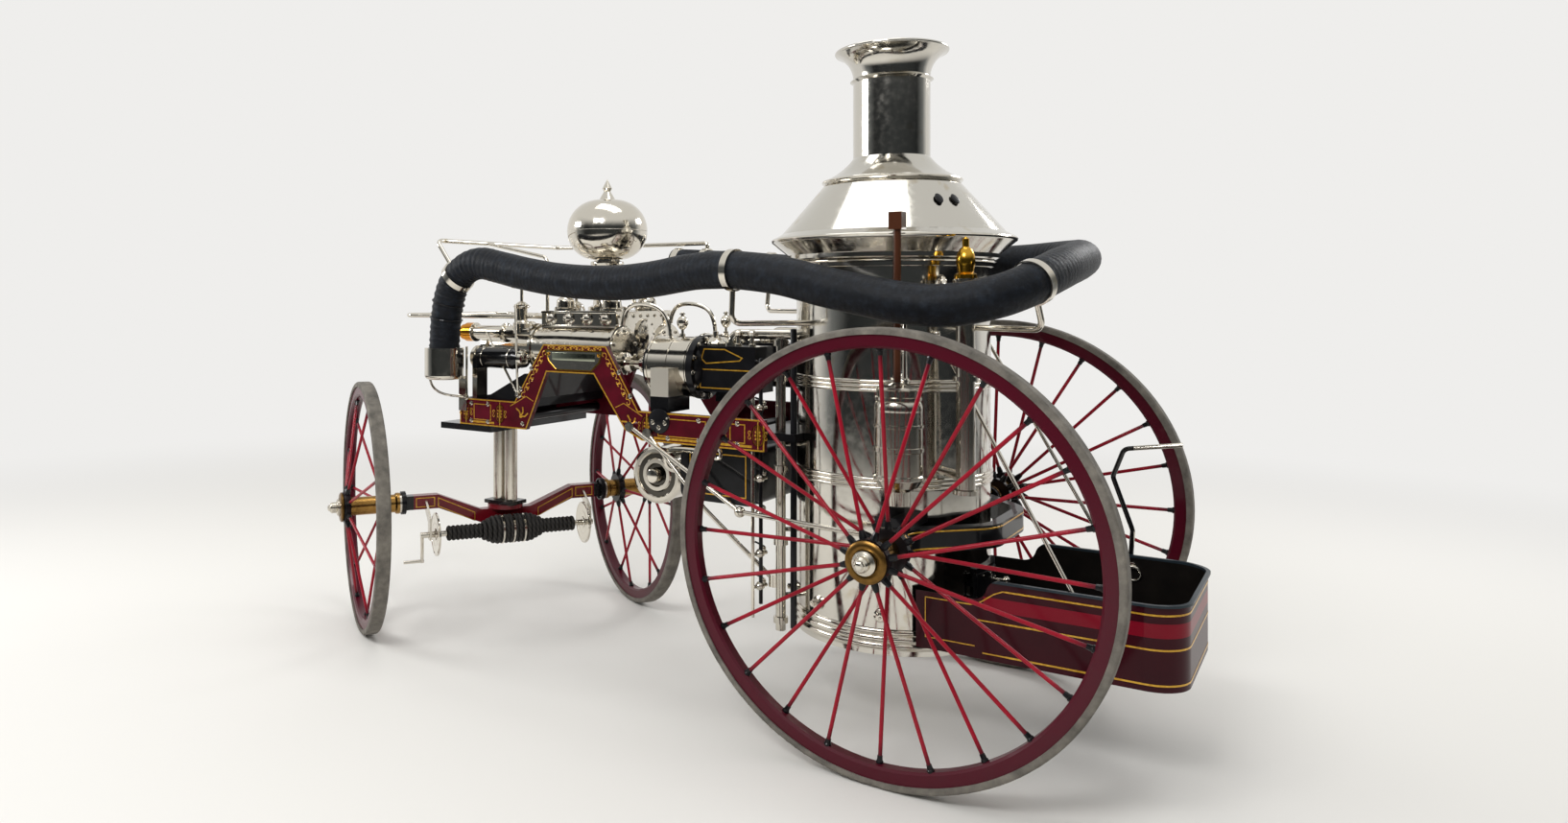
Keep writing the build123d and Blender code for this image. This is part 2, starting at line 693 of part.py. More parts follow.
# Fore-carriage, made straight ahead about the kingpin
def front_axle():
    """Dropped beam with the fifth wheel's lower plate, spindles and the reel's two hangers."""
    high, low = FRONT_WHEEL_R, AXLE_MID_Z
    half = AXLE_HALF_DEPTH
    points = [
        (-AXLE_END, high + half), (-AXLE_BEND_OUT, high + half), (-AXLE_BEND_IN, low + half),
        (AXLE_BEND_IN, low + half), (AXLE_BEND_OUT, high + half), (AXLE_END, high + half),
        (AXLE_END, high - half), (AXLE_BEND_OUT, high - half), (AXLE_BEND_IN, low - half),
        (-AXLE_BEND_IN, low - half), (-AXLE_BEND_OUT, high - half), (-AXLE_END, high - half),
    ]
    beam = Rot(Z=90) * side_plate(points, AXLE_THICK)
    reach = AXLE_REACH
    for side in (-1, 1):
        beam += rod((0, side * (AXLE_END - 20), high), (0, side * reach, high), COLLAR_R)
        beam += rod((0, side * (reach - 5), high), (0, side * (TRACK / 2 + HUB_LENGTH / 2 - 45), high), SPINDLE_R)
    low = AXLE_MID_TOP
    beam += turned([(0, low - 1), (AXLE_THICK / 2, low - 1), (AXLE_THICK / 2, low), (TURNTABLE_R, low),
                    (TURNTABLE_R, TURNTABLE_TOP), (0, TURNTABLE_TOP)])
    beam = beam.fuse(*reel_hangers())
    return beam - Cylinder(KINGPIN_R + RUNNING_FIT, TALL)


def kingpin():
    """Pin through the fifth wheel and the beam, with its nut below, forged with the pedestal."""
    nut_top = AXLE_MID_Z - AXLE_HALF_DEPTH - SEAT_GAP
    return turned([
        (0, nut_top - 30),
        (KINGPIN_R + 6, nut_top - 30),
        (KINGPIN_R + 6, nut_top),
        (KINGPIN_R, nut_top),
        (KINGPIN_R, PEDESTAL_BASE),
        (0, PEDESTAL_BASE),
    ])


def reel_hangers():
    """Two arms from the beam down to the reel's shaft."""
    arms = []
    half = HANGER_WIDTH / 2
    for side in (-1, 1):
        y = side * (REEL_HALF + HANGER_OUT)
        arm = Pos(0, y, 0) * side_plate([
            (0, FRONT_WHEEL_R + half),
            (REEL_BACK + half, FRONT_WHEEL_R - 2.5 * half),
            (REEL_BACK + half, REEL_Z - half),
            (REEL_BACK - half, REEL_Z - half),
            (REEL_BACK - half, FRONT_WHEEL_R - 3.5 * half),
            (0, FRONT_WHEEL_R - half),
        ], HANGER_THICK)
        hole = REEL_SHAFT_R + RUNNING_FIT
        arms.append(arm - rod((REEL_BACK, y - half, REEL_Z), (REEL_BACK, y + half, REEL_Z), hole))
    return arms


def pole_socket():
    """Round socket on the beam's front face that takes the end of the drag pole."""
    face = -AXLE_THICK / 2
    front, z = face - POLE_SOCKET_LENGTH, AXLE_MID_Z - POLE_LOW
    socket = rod((face, 0, z), (front, 0, z), POLE_SOCKET_R)
    for x in (face - 14, front + 14):
        socket += rod((x + 14, 0, z), (x - 14, 0, z), POLE_SOCKET_R + 8)
    return socket - rod((front + POLE_SEAT, 0, z), (front - 20, 0, z), POLE_R)


def rope_reel():
    """Reel shaft with two polished discs and its crank."""
    y, z = REEL_HALF, REEL_Z
    crank_y = -y - CRANK_OUT
    reel = rod((REEL_BACK, crank_y - CRANK_R, z), (REEL_BACK, y + REEL_SHAFT_OUT, z), REEL_SHAFT_R)
    for side in (-1, 1):
        low, high = sorted((side * y, side * (y + REEL_FLANGE_THICK)))
        reel += rod((REEL_BACK, low, z), (REEL_BACK, high, z), REEL_FLANGE_R)
    grip_z = z - CRANK_THROW
    reel += rod((REEL_BACK, crank_y, z), (REEL_BACK, crank_y, grip_z - CRANK_R), CRANK_R)
    reel += rod((REEL_BACK, crank_y + CRANK_R, grip_z), (REEL_BACK, crank_y - CRANK_GRIP, grip_z), CRANK_R)
    return reel


def reel_rope():
    """The drag rope's winding, thick in the middle and thin at the ends."""
    inner, end = REEL_SHAFT_R + RUNNING_FIT, REEL_HALF - REEL_ROPE_END
    thin, thick = REEL_SHAFT_R + CRANK_R, REEL_SHAFT_R + 2.5 * CRANK_R
    slope = REEL_ROPE_FULL + REEL_ROPE_SLOPE
    rope = on_wheel([
        (inner, -end), (thin, -end), (thick, -slope), (REEL_ROPE_R, -REEL_ROPE_FULL),
        (REEL_ROPE_R, REEL_ROPE_FULL), (thick, slope), (thin, end), (inner, end),
    ])
    return Pos(REEL_BACK, 0, REEL_Z) * rope


def pedestal():
    """Twin polished cylinders between the fifth wheel and the frame, with their plates."""
    half, wide = BASE_PLATE_HALF, BASE_PLATE_WIDTH / 2
    over = FRAME_Y + FRAME_THICK / 2
    plate = block((KINGPIN_X - half, KINGPIN_X + half), (-wide, wide), (PEDESTAL_BASE, PEDESTAL_BASE + BASE_PLATE_THICK))
    for side in (-1, 1):
        x = KINGPIN_X + side * PEDESTAL_PITCH / 2
        plate += rod((x, 0, PEDESTAL_BASE + BASE_PLATE_THICK), (x, 0, PEDESTAL_TOP), PEDESTAL_R)
    top = (PEDESTAL_TOP, FRAME_BOTTOM - SEAT_GAP)
    plate += block((KINGPIN_X - half, KINGPIN_X + TOP_PLATE_REAR), (-over, over), top)
    return plate + Pos(KINGPIN_X, 0, 0) * kingpin()


# Pump and steam end
def steam_cylinders():
    """Two polished jackets side by side on their feet, with the rods that drive the plungers."""
    pieces = []
    plunger_x = PUMP_X + PUMP_LENGTH / 2 + PUMP_HEAD_OUT + SEAT_GAP
    for side in (-1, 1):
        y = side * CYLINDER_Y
        jacket = rod((JACKET_FRONT_X, y, CYLINDER_Z), (JACKET_FRONT_X + JACKET_LENGTH, y, CYLINDER_Z), CYLINDER_R)
        foot_x = JACKET_FRONT_X + CYLINDER_FOOT_IN
        foot = block((foot_x, foot_x + CYLINDER_FOOT_LENGTH), sorted((y, side * FRAME_Y)), (FRAME_TOP, CYLINDER_Z))
        shaft = rod((plunger_x, y, CYLINDER_Z), (JACKET_FRONT_X + 20, y, CYLINDER_Z), ROD_R)
        gland = rod((JACKET_FRONT_X - GLAND_OUT, y, CYLINDER_Z), (JACKET_FRONT_X + 1, y, CYLINDER_Z), 2 * ROD_R)
        pieces.append(jacket + foot + shaft + gland)
    return Compound(pieces)


def valve_chests():
    """Black heads and valve chests behind the jackets, out to the boiler's steam pipe."""
    x = JACKET_FRONT_X + JACKET_LENGTH
    pieces = []
    for side in (-1, 1):
        y = side * CYLINDER_Y
        chest = rod((x, y, CYLINDER_Z), (x + HEAD_THICK, y, CYLINDER_Z), CYLINDER_R + HEAD_OVER)
        chest += block((x + HEAD_THICK - 1, x + CHEST_LENGTH), (y - CHEST_WIDTH / 2, y + CHEST_WIDTH / 2),
                       (CYLINDER_Z - CHEST_HEIGHT / 2, CYLINDER_Z + CHEST_HEIGHT / 2))
        pieces.append(chest)
    return Compound(pieces)


def pump_body():
    """Cast pump between the neck plates."""
    x = (PUMP_X - PUMP_LENGTH / 2, PUMP_X + PUMP_LENGTH / 2)
    body = block(x, (-PUMP_WIDTH / 2, PUMP_WIDTH / 2), (PUMP_BOTTOM, PUMP_TOP))
    for side in (-1, 1):
        y = side * CYLINDER_Y
        z = CYLINDER_Z + PUMP_BARREL_RISE
        body += rod((x[0] - 2 * PUMP_HEAD_OUT, y, z), (x[1] + PUMP_HEAD_OUT, y, z), PUMP_BARREL_R)
        for along in VALVE_CAP_X:
            body += Pos(PUMP_X + along, side * VALVE_CAP_Y, PUMP_TOP) * valve_cap()
    return body


def valve_cap():
    """Domed cap with a square boss over one of the pump's valves."""
    r, height = VALVE_CAP_R, VALVE_CAP_HEIGHT
    return turned([
        (0, -1), (r, -1), (r, 12), (0.84 * r, 16), (0.8 * r, 0.48 * height),
        (0.27 * r, 0.81 * height, 0.65 * r, 0.71 * height), (0.27 * r, height), (0, height),
    ])


def air_chamber():
    """Onion-shaped air vessel on its neck."""
    chamber = turned([
        (0, PUMP_TOP),
        (AIR_FLANGE_R, PUMP_TOP),
        (AIR_FLANGE_R, PUMP_TOP + AIR_FLANGE_THICK),
        (AIR_NECK_R, PUMP_TOP + 30),
        (AIR_NECK_R, AIR_BULB_Z - AIR_BELLY),
        (AIR_BULB_R, AIR_BULB_Z, AIR_BULB_R - 0.29 * AIR_BELLY, AIR_BULB_Z - 0.71 * AIR_BELLY),
        (40, AIR_BULB_Z + 150, AIR_BULB_R - 42, AIR_BULB_Z + 106),
        (16, AIR_BULB_Z + 190),
        (24, AIR_BULB_Z + 205),
        (0, AIR_BULB_Z + 250),
    ])
    return Pos(PUMP_X, 0, 0) * chamber


# Mountings, trusses and tanks
def shell_stud(x, y, z, radius=STUD_R):
    """A stud from a point beside the boiler straight in to its shell."""
    away = math.hypot(x - BOILER_X, y)
    near = (BOILER_R + SEAT_GAP) / away
    start = (BOILER_X + (x - BOILER_X) * near, y * near, z)
    return rod(start, (x, y, z), radius) - Pos(BOILER_X, 0, 0) * Cylinder(BOILER_R + SEAT_GAP, TALL)


def feed_canister():
    """Banded canister on two studs, with the square-headed relief pipe on its lid."""
    r, foot, top = CANISTER_R, CANISTER_FOOT, CANISTER_TOP
    body = turned([
        (0, foot), (r * 0.5, foot), (r * 0.5, foot + 50), (r * 0.82, foot + 66), (r, foot + 92),
        (r + 4, foot + 96, r + 4, foot + 92), (r + 4, foot + 106), (r, foot + 110),
        (r, foot + 190), (r + 4, foot + 193), (r + 4, foot + 207), (r, foot + 210),
        (r, foot + 276), (r + 4, foot + 279), (r + 4, foot + 287), (r, foot + 290),
        (r, top - 100), (r - 8, top - 62, r - 1, top - 78), (r - 2, top - 60), (r - 2, top - 50),
        (r - 8, top - 48), (r - 8, top - 26), (r - 2, top - 22), (r - 6, top - 14),
        (r * 0.5, top - 8), (r * 0.3, top), (0, top),
    ])
    body = Pos(CANISTER_X, CANISTER_Y, 0) * body
    for z in (foot + 150, top - 90):
        body += shell_stud(CANISTER_X, CANISTER_Y, z)
    pipe = rod((CANISTER_X, RELIEF_PIPE_Y, top - 20), (CANISTER_X, RELIEF_PIPE_Y, RELIEF_PIPE_TOP - 60), RELIEF_PIPE_R)
    head = block((CANISTER_X - 24, CANISTER_X + 24), (RELIEF_PIPE_Y - 24, RELIEF_PIPE_Y + 24),
                 (RELIEF_PIPE_TOP - 62, RELIEF_PIPE_TOP))
    return body + pipe + head


def boiler_columns():
    """Steam column at the back left and the two water columns at the front left."""
    tall = rod((COLUMN_X, COLUMN_Y, COLUMN_FOOT), (COLUMN_X, COLUMN_Y, COLUMN_TOP), COLUMN_R)
    for z in (COLUMN_FOOT, COLUMN_FOOT + 400, COLUMN_TOP - 20):
        tall += rod((COLUMN_X, COLUMN_Y, z), (COLUMN_X, COLUMN_Y, z + 16), COLUMN_R + 12)
    for z in (COLUMN_FOOT + 60, COLUMN_TOP - 120):
        tall += shell_stud(COLUMN_X, COLUMN_Y, z, 2 * STUD_R)
    columns = [tall + whistle()]
    for side in (-1, 1):
        x, y = WATER_COLUMN_X, -side * WATER_COLUMN_Y
        column = rod((x, y, WATER_COLUMN_FOOT), (x, y, WATER_COLUMN_TOP), WATER_COLUMN_R)
        for z in WATER_RING_Z:
            column += rod((x, y, z), (x, y, z + 24), WATER_COLUMN_R + 9)
        for z in WATER_STUD_Z:
            column += shell_stud(x, y, z)
        columns.append(column)
    return Compound(columns)


def whistle():
    """Bell whistle on top of the steam column."""
    return Pos(COLUMN_X, COLUMN_Y, COLUMN_TOP - 1) * turned([
        (0, 0), (COLUMN_R + 6, 0), (COLUMN_R + 6, 14), (COLUMN_R - 6, 22), (COLUMN_R - 3, 40),
        (COLUMN_R - 12, 104, COLUMN_R - 3, 84), (12, 112), (12, WHISTLE_HEIGHT - 10), (0, WHISTLE_HEIGHT),
    ])


def truss_rods():
    """Eyed rods from the frame to the axle's arms and to the foot of the boiler."""
    rods = []
    out = FRAME_Y + FRAME_THICK / 2 + SEAT_GAP
    for side in (-1, 1):
        head = (TRUSS_HEAD_X, side * (out + TRUSS_EYE_THICK / 2), TRUSS_HEAD_Z)
        node = (TRUSS_NODE_X, side * TRUSS_NODE_Y, TRUSS_NODE_Z)
        axle = (-BOW_THICK / 2 - SEAT_GAP, side * TRUSS_AXLE_Y, REAR_WHEEL_R)
        upper = rod(head, node, TRUSS_R) + rod(node, axle, TRUSS_R) + Pos(*node) * Sphere(TRUSS_EYE_R)
        upper += rod((head[0], side * out, head[2]), (head[0], side * (out + TRUSS_EYE_THICK), head[2]), TRUSS_EYE_R)
        rods.append(upper - block((-BOW_THICK / 2 - SEAT_GAP, 60), (-900, 900), (0, 2000)))
        water = (WATER_COLUMN_X - WATER_COLUMN_R - TRUSS_R, side * -WATER_COLUMN_Y, LOWER_TRUSS_FOOT_Z)
        start = (LOWER_TRUSS_X + 70, side * (out + TRUSS_EYE_THICK / 2), TRUSS_HEAD_Z - 22)
        knee = (TRUSS_KNEE_X, start[1], TRUSS_KNEE_Z)
        lower = rod(start, knee, TRUSS_R) + rod(knee, water, TRUSS_R) + Pos(*knee) * Sphere(TRUSS_R)
        lower += rod((start[0], side * out, start[2]), (start[0], side * (out + TRUSS_EYE_THICK), start[2]), TRUSS_EYE_R)
        lower += rod((water[0], water[1], water[2] - 24), (water[0], water[1], water[2] + 24), TRUSS_EYE_R)
        rods.append(lower - Pos(WATER_COLUMN_X, side * -WATER_COLUMN_Y, 0) * Cylinder(WATER_COLUMN_R + SEAT_GAP, TALL))
    return Compound(rods)


def side_tank():
    """Black tank hung between the frame sides on two pads."""
    tank = block((TANK_FRONT_X, TANK_REAR_X), (-TANK_Y, TANK_Y), (TANK_BOTTOM, TANK_TOP))
    tank = fillet(tank.edges().filter_by(Axis.Y), TANK_CORNER)
    middle = (TANK_FRONT_X + TANK_REAR_X) / 2
    for y in (-150, 150):
        tank += block((middle - 30, middle + 30), (y - 20, y + 20), (TANK_TOP - 1, STRETCHER_UNDER))
    return tank


def suction_drum():
    """Polished drum across the frame with ringed ends, hung from the stretcher."""
    half, r = DRUM_Y, DRUM_R
    end = [(r, half - 26), (r + 6, half - 20), (r + 6, half - 8), (r - 6, half), (r - 20, half), (r - 26, half - 7),
           (r - 44, half - 7), (r - 50, half), (r - 66, half), (r - 72, half - 9), (34, half - 9), (28, half + 12), (0, half + 16)]
    other = [(x, -y) for x, y in reversed(end)]
    drum = Pos(DRUM_X, 0, DRUM_Z) * on_wheel(other + end)
    hanger_x = NECK_FOOT_REAR + STRETCHER_IN
    return drum + block((hanger_x - 30, hanger_x + 30), (-70, 70), (DRUM_Z + DRUM_R - 40, STRETCHER_UNDER))


def pump_outlets():
    """Two outlet pipes to the front, the left with its bare thread and the right one capped."""
    outlets = []
    start = PUMP_X - PUMP_LENGTH / 2 - 2 * PUMP_HEAD_OUT - SEAT_GAP
    length, r = start - OUTLET_FRONT_X, OUTLET_R
    thread = length - OUTLET_THREAD
    collar = r + OUTLET_COLLAR
    body = [(collar + 2, 0), (collar + 2, 14), (r, 16), (r, 184), (collar, 188), (collar, 202), (r, 206)]
    for side in (-1, 1):
        if side < 0:
            points = [(0, 0), *body, (r, thread - 60), (collar, thread - 54), (collar, thread), (OUTLET_THREAD_R, thread),
                      (OUTLET_THREAD_R, length), (r - 5, length), (r - 5, thread - 60), (0, thread - 60)]
        else:
            points = [(0, 0), *body, (r, thread - 60), (collar, thread - 54), (collar, length - 6), (r + 6, length),
                      (12, length), (12, length + 18), (0, length + 18)]
        outlet = Pos(start, side * OUTLET_Y, OUTLET_Z) * Rot(Y=-90) * turned(points)
        outlets.append(outlet + Pos(OUTLET_VALVE_X, side * OUTLET_Y, OUTLET_Z) * outlet_valve())
    return outlets


def outlet_valve():
    """Upright bonnet and spindle of an outlet's stop valve."""
    r, top = OUTLET_VALVE_R, OUTLET_VALVE_TOP - OUTLET_Z
    return turned([
        (0, 0), (r, 0), (r, 46), (r - 6, 52), (r - 14, 62), (r - 14, 118), (r - 6, 122), (r - 6, 136),
        (20, 148), (8, 154), (8, top), (0, top),
    ])


def front_cylinders():
    """Two air cylinders over the front of the frame, each on its foot."""
    r, length = FRONT_CYLINDER_R, FRONT_CYLINDER_LENGTH
    vessel = Rot(Y=90) * turned([
        (0, 0), (r - 8, 0), (r + 6, 8), (r + 6, 28), (r, 30), (r, length - 20), (r - 12, length), (0, length),
    ])
    pieces = []
    for side in (-1, 1):
        y = side * FRONT_CYLINDER_Y
        foot = block((FRONT_CYLINDER_X + 40, FRONT_CYLINDER_X + 40 + FRONT_CYLINDER_FOOT),
                     sorted((y, side * (FRAME_Y + FRAME_THICK / 2))), (FRAME_TOP + SEAT_GAP, FRONT_CYLINDER_Z))
        pieces.append(Pos(FRONT_CYLINDER_X, y, FRONT_CYLINDER_Z) * vessel + foot)
    return Compound(pieces)


def suction_inlet():
    """Wide inlet pipe to the front, closed with a domed cap."""
    start = PUMP_X - PUMP_LENGTH / 2 - SEAT_GAP
    length, r = start - INLET_FRONT_X, INLET_R
    pipe = turned([
        (0, 0), (r + 16, 0), (r + 16, 22), (r, 26), (r, length - 60), (r + 14, length - 56),
        (r + 14, length - 20), (r + 4, length - 14), (20, length + 6, r * 0.72, length + 1), (0, length + 6),
    ])
    return Pos(start, 0, INLET_Z) * Rot(Y=-90) * pipe


def steam_pipes():
    """Steam pipes from the shell down to the chests, and the curved drain by the tank."""
    pipes = []
    top = CYLINDER_Z + CHEST_HEIGHT / 2 + SEAT_GAP
    x = JACKET_FRONT_X + JACKET_LENGTH + CHEST_LENGTH / 2
    for side in (-1, 1):
        y = side * STEAM_PIPE_Y
        pipe = bent_rod([(BOILER_X - BOILER_R + 30, y, STEAM_PIPE_Z), (x, side * CYLINDER_Y, STEAM_PIPE_Z),
                         (x, side * CYLINDER_Y, top)], STEAM_PIPE_R, 36)
        pipe += rod((x, side * CYLINDER_Y, top), (x, side * CYLINDER_Y, top + 14), STEAM_PIPE_R + 16)
        pipes.append(pipe - Pos(BOILER_X, 0, 0) * Cylinder(BOILER_R + SEAT_GAP, TALL))
    return Compound(pipes)


def grate_lever():
    """Bent bar with a round handle, pinned to the tray's right-hand side."""
    y = TRAY_Y + TRAY_LIP + SEAT_GAP + LEVER_R
    bar = bent_rod([(LEVER_X + 20, y, TRAY_TOP - 60), (LEVER_X + 30, y, TRAY_TOP + 90), (LEVER_X - 40, y, LEVER_TOP - 110),
                    (LEVER_X, y, LEVER_TOP), (LEVER_X + 200, y, LEVER_TOP + 30)], LEVER_R, 30)
    return bar + rod((LEVER_X + 20, TRAY_Y + SEAT_GAP, TRAY_TOP - 60), (LEVER_X + 20, y, TRAY_TOP - 60), LEVER_R)


# Hose
HOSE_ROUTE = (
    (CUP_X, CUP_Y, CUP_Z + 60),
    (CUP_X, CUP_Y, 1640),
    (CUP_X + 190, CUP_Y - 10, 1800),
    (-1840, CUP_Y - 20, 1750),
    (-1500, -500, 1690),
    (-1120, -505, 1680),
    (-800, -515, 1735),
    (-500, -545, 1720),
    (-200, -560, 1645),
    (130, -558, 1582),
    (360, -470, 1630),
    (450, -240, 1715),
    (460, 80, 1760),
    (410, 370, 1780),
    (200, 540, 1775),
    (-150, 560, 1755),
    (-500, 530, 1740),
    (-850, 515, 1745),
    (-1200, 505, 1780),
    (-1560, 500, 1800),
)


def bend_radii(route, share=0.45):
    """The largest arc that each corner's two runs allow."""
    points = [Vector(*point) for point in route]
    radii = []
    for before, corner, after in zip(points, points[1:], points[2:]):
        turn = (corner - before).get_angle(after - corner)
        run = min((corner - before).length, (after - corner).length)
        radii.append(share * run / math.tan(math.radians(turn) / 2))
    return radii


def suction_hose():
    radii = bend_radii(HOSE_ROUTE)
    path = FilletPolyline(*HOSE_ROUTE, radius=radii)
    print("hose length", round(path.length), "bend radii", [round(radius) for radius in radii])
    hose = sweep(Plane(origin=path @ 0, z_dir=path % 0) * Circle(HOSE_R), path=path)
    print("hose volume against section times length", hose.volume / (math.pi * HOSE_R ** 2 * path.length))
    return hose


def hose_cup():
    """Polished cup that the hose stands in, on a strap from the frame."""
    cup = turned([
        (0, 0), (CUP_R - 20, 0), (CUP_R, 20, CUP_R - 6, 6), (CUP_R, CUP_HEIGHT),
        (HOSE_R + SEAT_GAP, CUP_HEIGHT), (HOSE_R + SEAT_GAP, 60 - SEAT_GAP), (0, 60 - SEAT_GAP),
    ])
    cup = Pos(CUP_X, CUP_Y, CUP_Z) * cup
    cup += block((CUP_X - 12, CUP_X + 60), (CUP_Y, -FRAME_Y - FRAME_THICK / 2), (CUP_Z, CUP_Z + 12))
    cup += block((CUP_X + 10, CUP_X + 60), (-FRAME_Y - FRAME_THICK / 2 - 10, -FRAME_Y - FRAME_THICK / 2), (FRAME_TOP - 60, CUP_Z + 12))
    return cup


def run_middle(run):
    """The middle of one straight run of the hose, its direction and the way up across it."""
    start, end = Vector(*HOSE_ROUTE[run]), Vector(*HOSE_ROUTE[run + 1])
    along = (end - start).normalized()
    up = Vector(0, 0, 1)
    return (start + end) * 0.5, along, (up - along * along.Z).normalized()


def strap_disc(run):
    """The disc that becomes a clip round the hose in the middle of one of its runs."""
    middle, along, _ = run_middle(run)
    plane = Plane(origin=middle - along * (STRAP_WIDTH / 2), z_dir=along)
    return extrude(plane * Circle(HOSE_R + SEAT_GAP + STRAP_WALL), amount=STRAP_WIDTH)


def without_hose(shape, *runs):
    """The shape with the hose's own room cut out of it along some runs."""
    for run in runs:
        shape -= rod(HOSE_ROUTE[run], HOSE_ROUTE[run + 1], HOSE_R + SEAT_GAP)
    return shape


def hose_hooks():
    """Clips round the hose on arms from the boiler's shell."""
    pieces = []
    for run, drop in ((6, HOOK_DROP), (10, REAR_HOOK_DROP), (17, HOOK_DROP)):
        middle, _, up = run_middle(run)
        top, low = middle - up * HOSE_R, middle - up * (HOSE_R + drop)
        away = math.hypot(low.X - BOILER_X, low.Y)
        near = (BOILER_R - 2 * RAIL_R) / away
        foot = (BOILER_X + (low.X - BOILER_X) * near, low.Y * near, low.Z)
        arm = bent_rod([top, low, foot], RAIL_R, HOOK_BEND)
        arm -= Pos(BOILER_X, 0, 0) * Cylinder(BOILER_R + SEAT_GAP, TALL)
        pieces.append(without_hose(strap_disc(run) + arm, run))
    return pieces


def hose_rails():
    """Hand rail across the front, the cradle rail that ties both ends of the hose, and its hooks."""
    front = PUMP_X - PUMP_LENGTH / 2 - SEAT_GAP
    y, x, z = HAND_RAIL_Y, HAND_RAIL_X, HAND_RAIL_Z
    inner, root, bend_x = RAIL_ROOT_Y, PUMP_TOP - RAIL_ROOT_DROP, front - 200
    hand = bent_rod([
        (front, -inner, root), (bend_x, -inner, root), (x + 60, -y, z), (x, -y + 60, z),
        (x, y - 60, z), (x + 60, y, z), (bend_x, inner, root), (front, inner, root),
    ], RAIL_R, HOOK_BEND)
    near, _, near_up = run_middle(1)
    far, _, far_up = run_middle(18)
    near_foot, far_foot = near + near_up * HOSE_R, far + far_up * HOSE_R
    near_top = near_foot + near_up * ((CRADLE_Z - near_foot.Z) / near_up.Z)
    far_top = far_foot + far_up * ((CRADLE_Z - far_foot.Z) / far_up.Z)
    cradle = bent_rod([
        near_foot, near_top, (CRADLE_X, near_top.Y + 60, CRADLE_Z), (CRADLE_X, far_top.Y - 60, CRADLE_Z),
        (CRADLE_X + 140, far_top.Y, CRADLE_Z), far_top, far_foot,
    ], RAIL_R, [HOOK_BEND, HOOK_BEND, HOOK_BEND, HOOK_BEND, RAIL_R + 3])
    post_x, post_y = front - 60, -PUMP_WIDTH / 4
    post = bent_rod([(post_x, post_y, root), (post_x, post_y, CRADLE_Z - 80), (CRADLE_X, post_y, CRADLE_Z)],
                    RAIL_R - 2, HOOK_BEND)
    cradle = without_hose(cradle + strap_disc(1) + strap_disc(18) + post, 1, 18)
    return Compound([hand, cradle, *hose_hooks()])


def on_fore_carriage(shape):
    return Pos(KINGPIN_X, 0, 0) * Rot(Z=-STEER_REST) * shape


def placed_wheel(shape, radius, side, front):
    """A wheel piece on its spindle, outer face away from the engine."""
    turned_out = shape if side > 0 else Rot(Z=180) * shape
    stood = Pos(0, side * TRACK / 2, radius) * turned_out
    return on_fore_carriage(stood) if front else stood


NODES = {
    "frame_sides": Compound([Pos(0, side * FRAME_Y, 0) * frame_side() for side in (-1, 1)]),
    "frame_cross_members": cross_members(),
    "neck_plates": neck_plates(),
    "boiler_shell": boiler_shell(),
    "boiler_bands": boiler_bands(),
    "smoke_hood": smoke_hood(),
    "fire_door": fire_door(),
    "door_hinge": door_hinge(),
    "boiler_feet": boiler_feet(),
    "rear_axle": rear_axle(),
    "coal_tray": coal_tray(),
    "tray_stays": tray_stays(),
    "front_pedestal": pedestal(),
    "front_axle": on_fore_carriage(front_axle()),
    "pole_socket": on_fore_carriage(pole_socket()),
    "rope_reel": on_fore_carriage(rope_reel()),
    "reel_rope": on_fore_carriage(reel_rope()),
    "steam_cylinders": steam_cylinders(),
    "valve_chests": valve_chests(),
    "pump_body": pump_body(),
    "air_chamber": air_chamber(),
    "feed_canister": feed_canister(),
    "boiler_columns": boiler_columns(),
    "truss_rods": truss_rods(),
    "side_tank": side_tank(),
    "suction_drum": suction_drum(),
    "pump_connections": Compound([*pump_outlets(), suction_inlet()]),
    "front_cylinders": front_cylinders(),
    "steam_pipes": steam_pipes(),
    "grate_lever": grate_lever(),
    "suction_hose": suction_hose(),
    "hose_rails": hose_rails(),
    "hose_cup": hose_cup(),
}
for place, radius, spokes in (("front", FRONT_WHEEL_R, FRONT_SPOKES), ("rear", REAR_WHEEL_R, REAR_SPOKES)):
    for piece, shape in (("tyre", tyre(radius)), ("wheel", spoked_wheel(radius, spokes)), ("hub", hub())):
        for hand, side in (("left", -1), ("right", 1)):
            NODES[f"{place}_{hand}_{piece}"] = placed_wheel(shape, radius, side, place == "front")

if __name__ == "__main__":
    os.makedirs("parts", exist_ok=True)
    for name, shape in NODES.items():
        export_step(Pos(SHIFT_X, 0, 0) * shape, f"parts/{name}.step")
    print(len(NODES), "nodes, shift", round(SHIFT_X, 3))
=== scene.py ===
"""Finishes, lining, fittings, hose and studio for a hand-drawn steam fire engine."""

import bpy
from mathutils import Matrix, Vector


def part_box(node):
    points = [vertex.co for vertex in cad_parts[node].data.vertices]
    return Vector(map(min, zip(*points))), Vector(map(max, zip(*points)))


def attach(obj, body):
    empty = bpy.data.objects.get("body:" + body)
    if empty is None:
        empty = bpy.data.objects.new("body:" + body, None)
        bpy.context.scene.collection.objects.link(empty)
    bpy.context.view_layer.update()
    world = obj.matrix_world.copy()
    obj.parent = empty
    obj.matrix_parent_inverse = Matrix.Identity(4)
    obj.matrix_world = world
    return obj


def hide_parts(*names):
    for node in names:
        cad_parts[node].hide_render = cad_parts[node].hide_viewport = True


bl_info = {
    "name": "Steam Fire Engine",
    "version": (1, 0, 0),
    "blender": (4, 5, 0),
    "location": "3D View > Sidebar > Fire Engine",
    "description": "Dresses the engine's solids in enamel, gold leaf, nickel and rubbered canvas",
    "category": "Object",
}

import math

import bmesh
import bpy
from mathutils import Matrix, Vector, noise

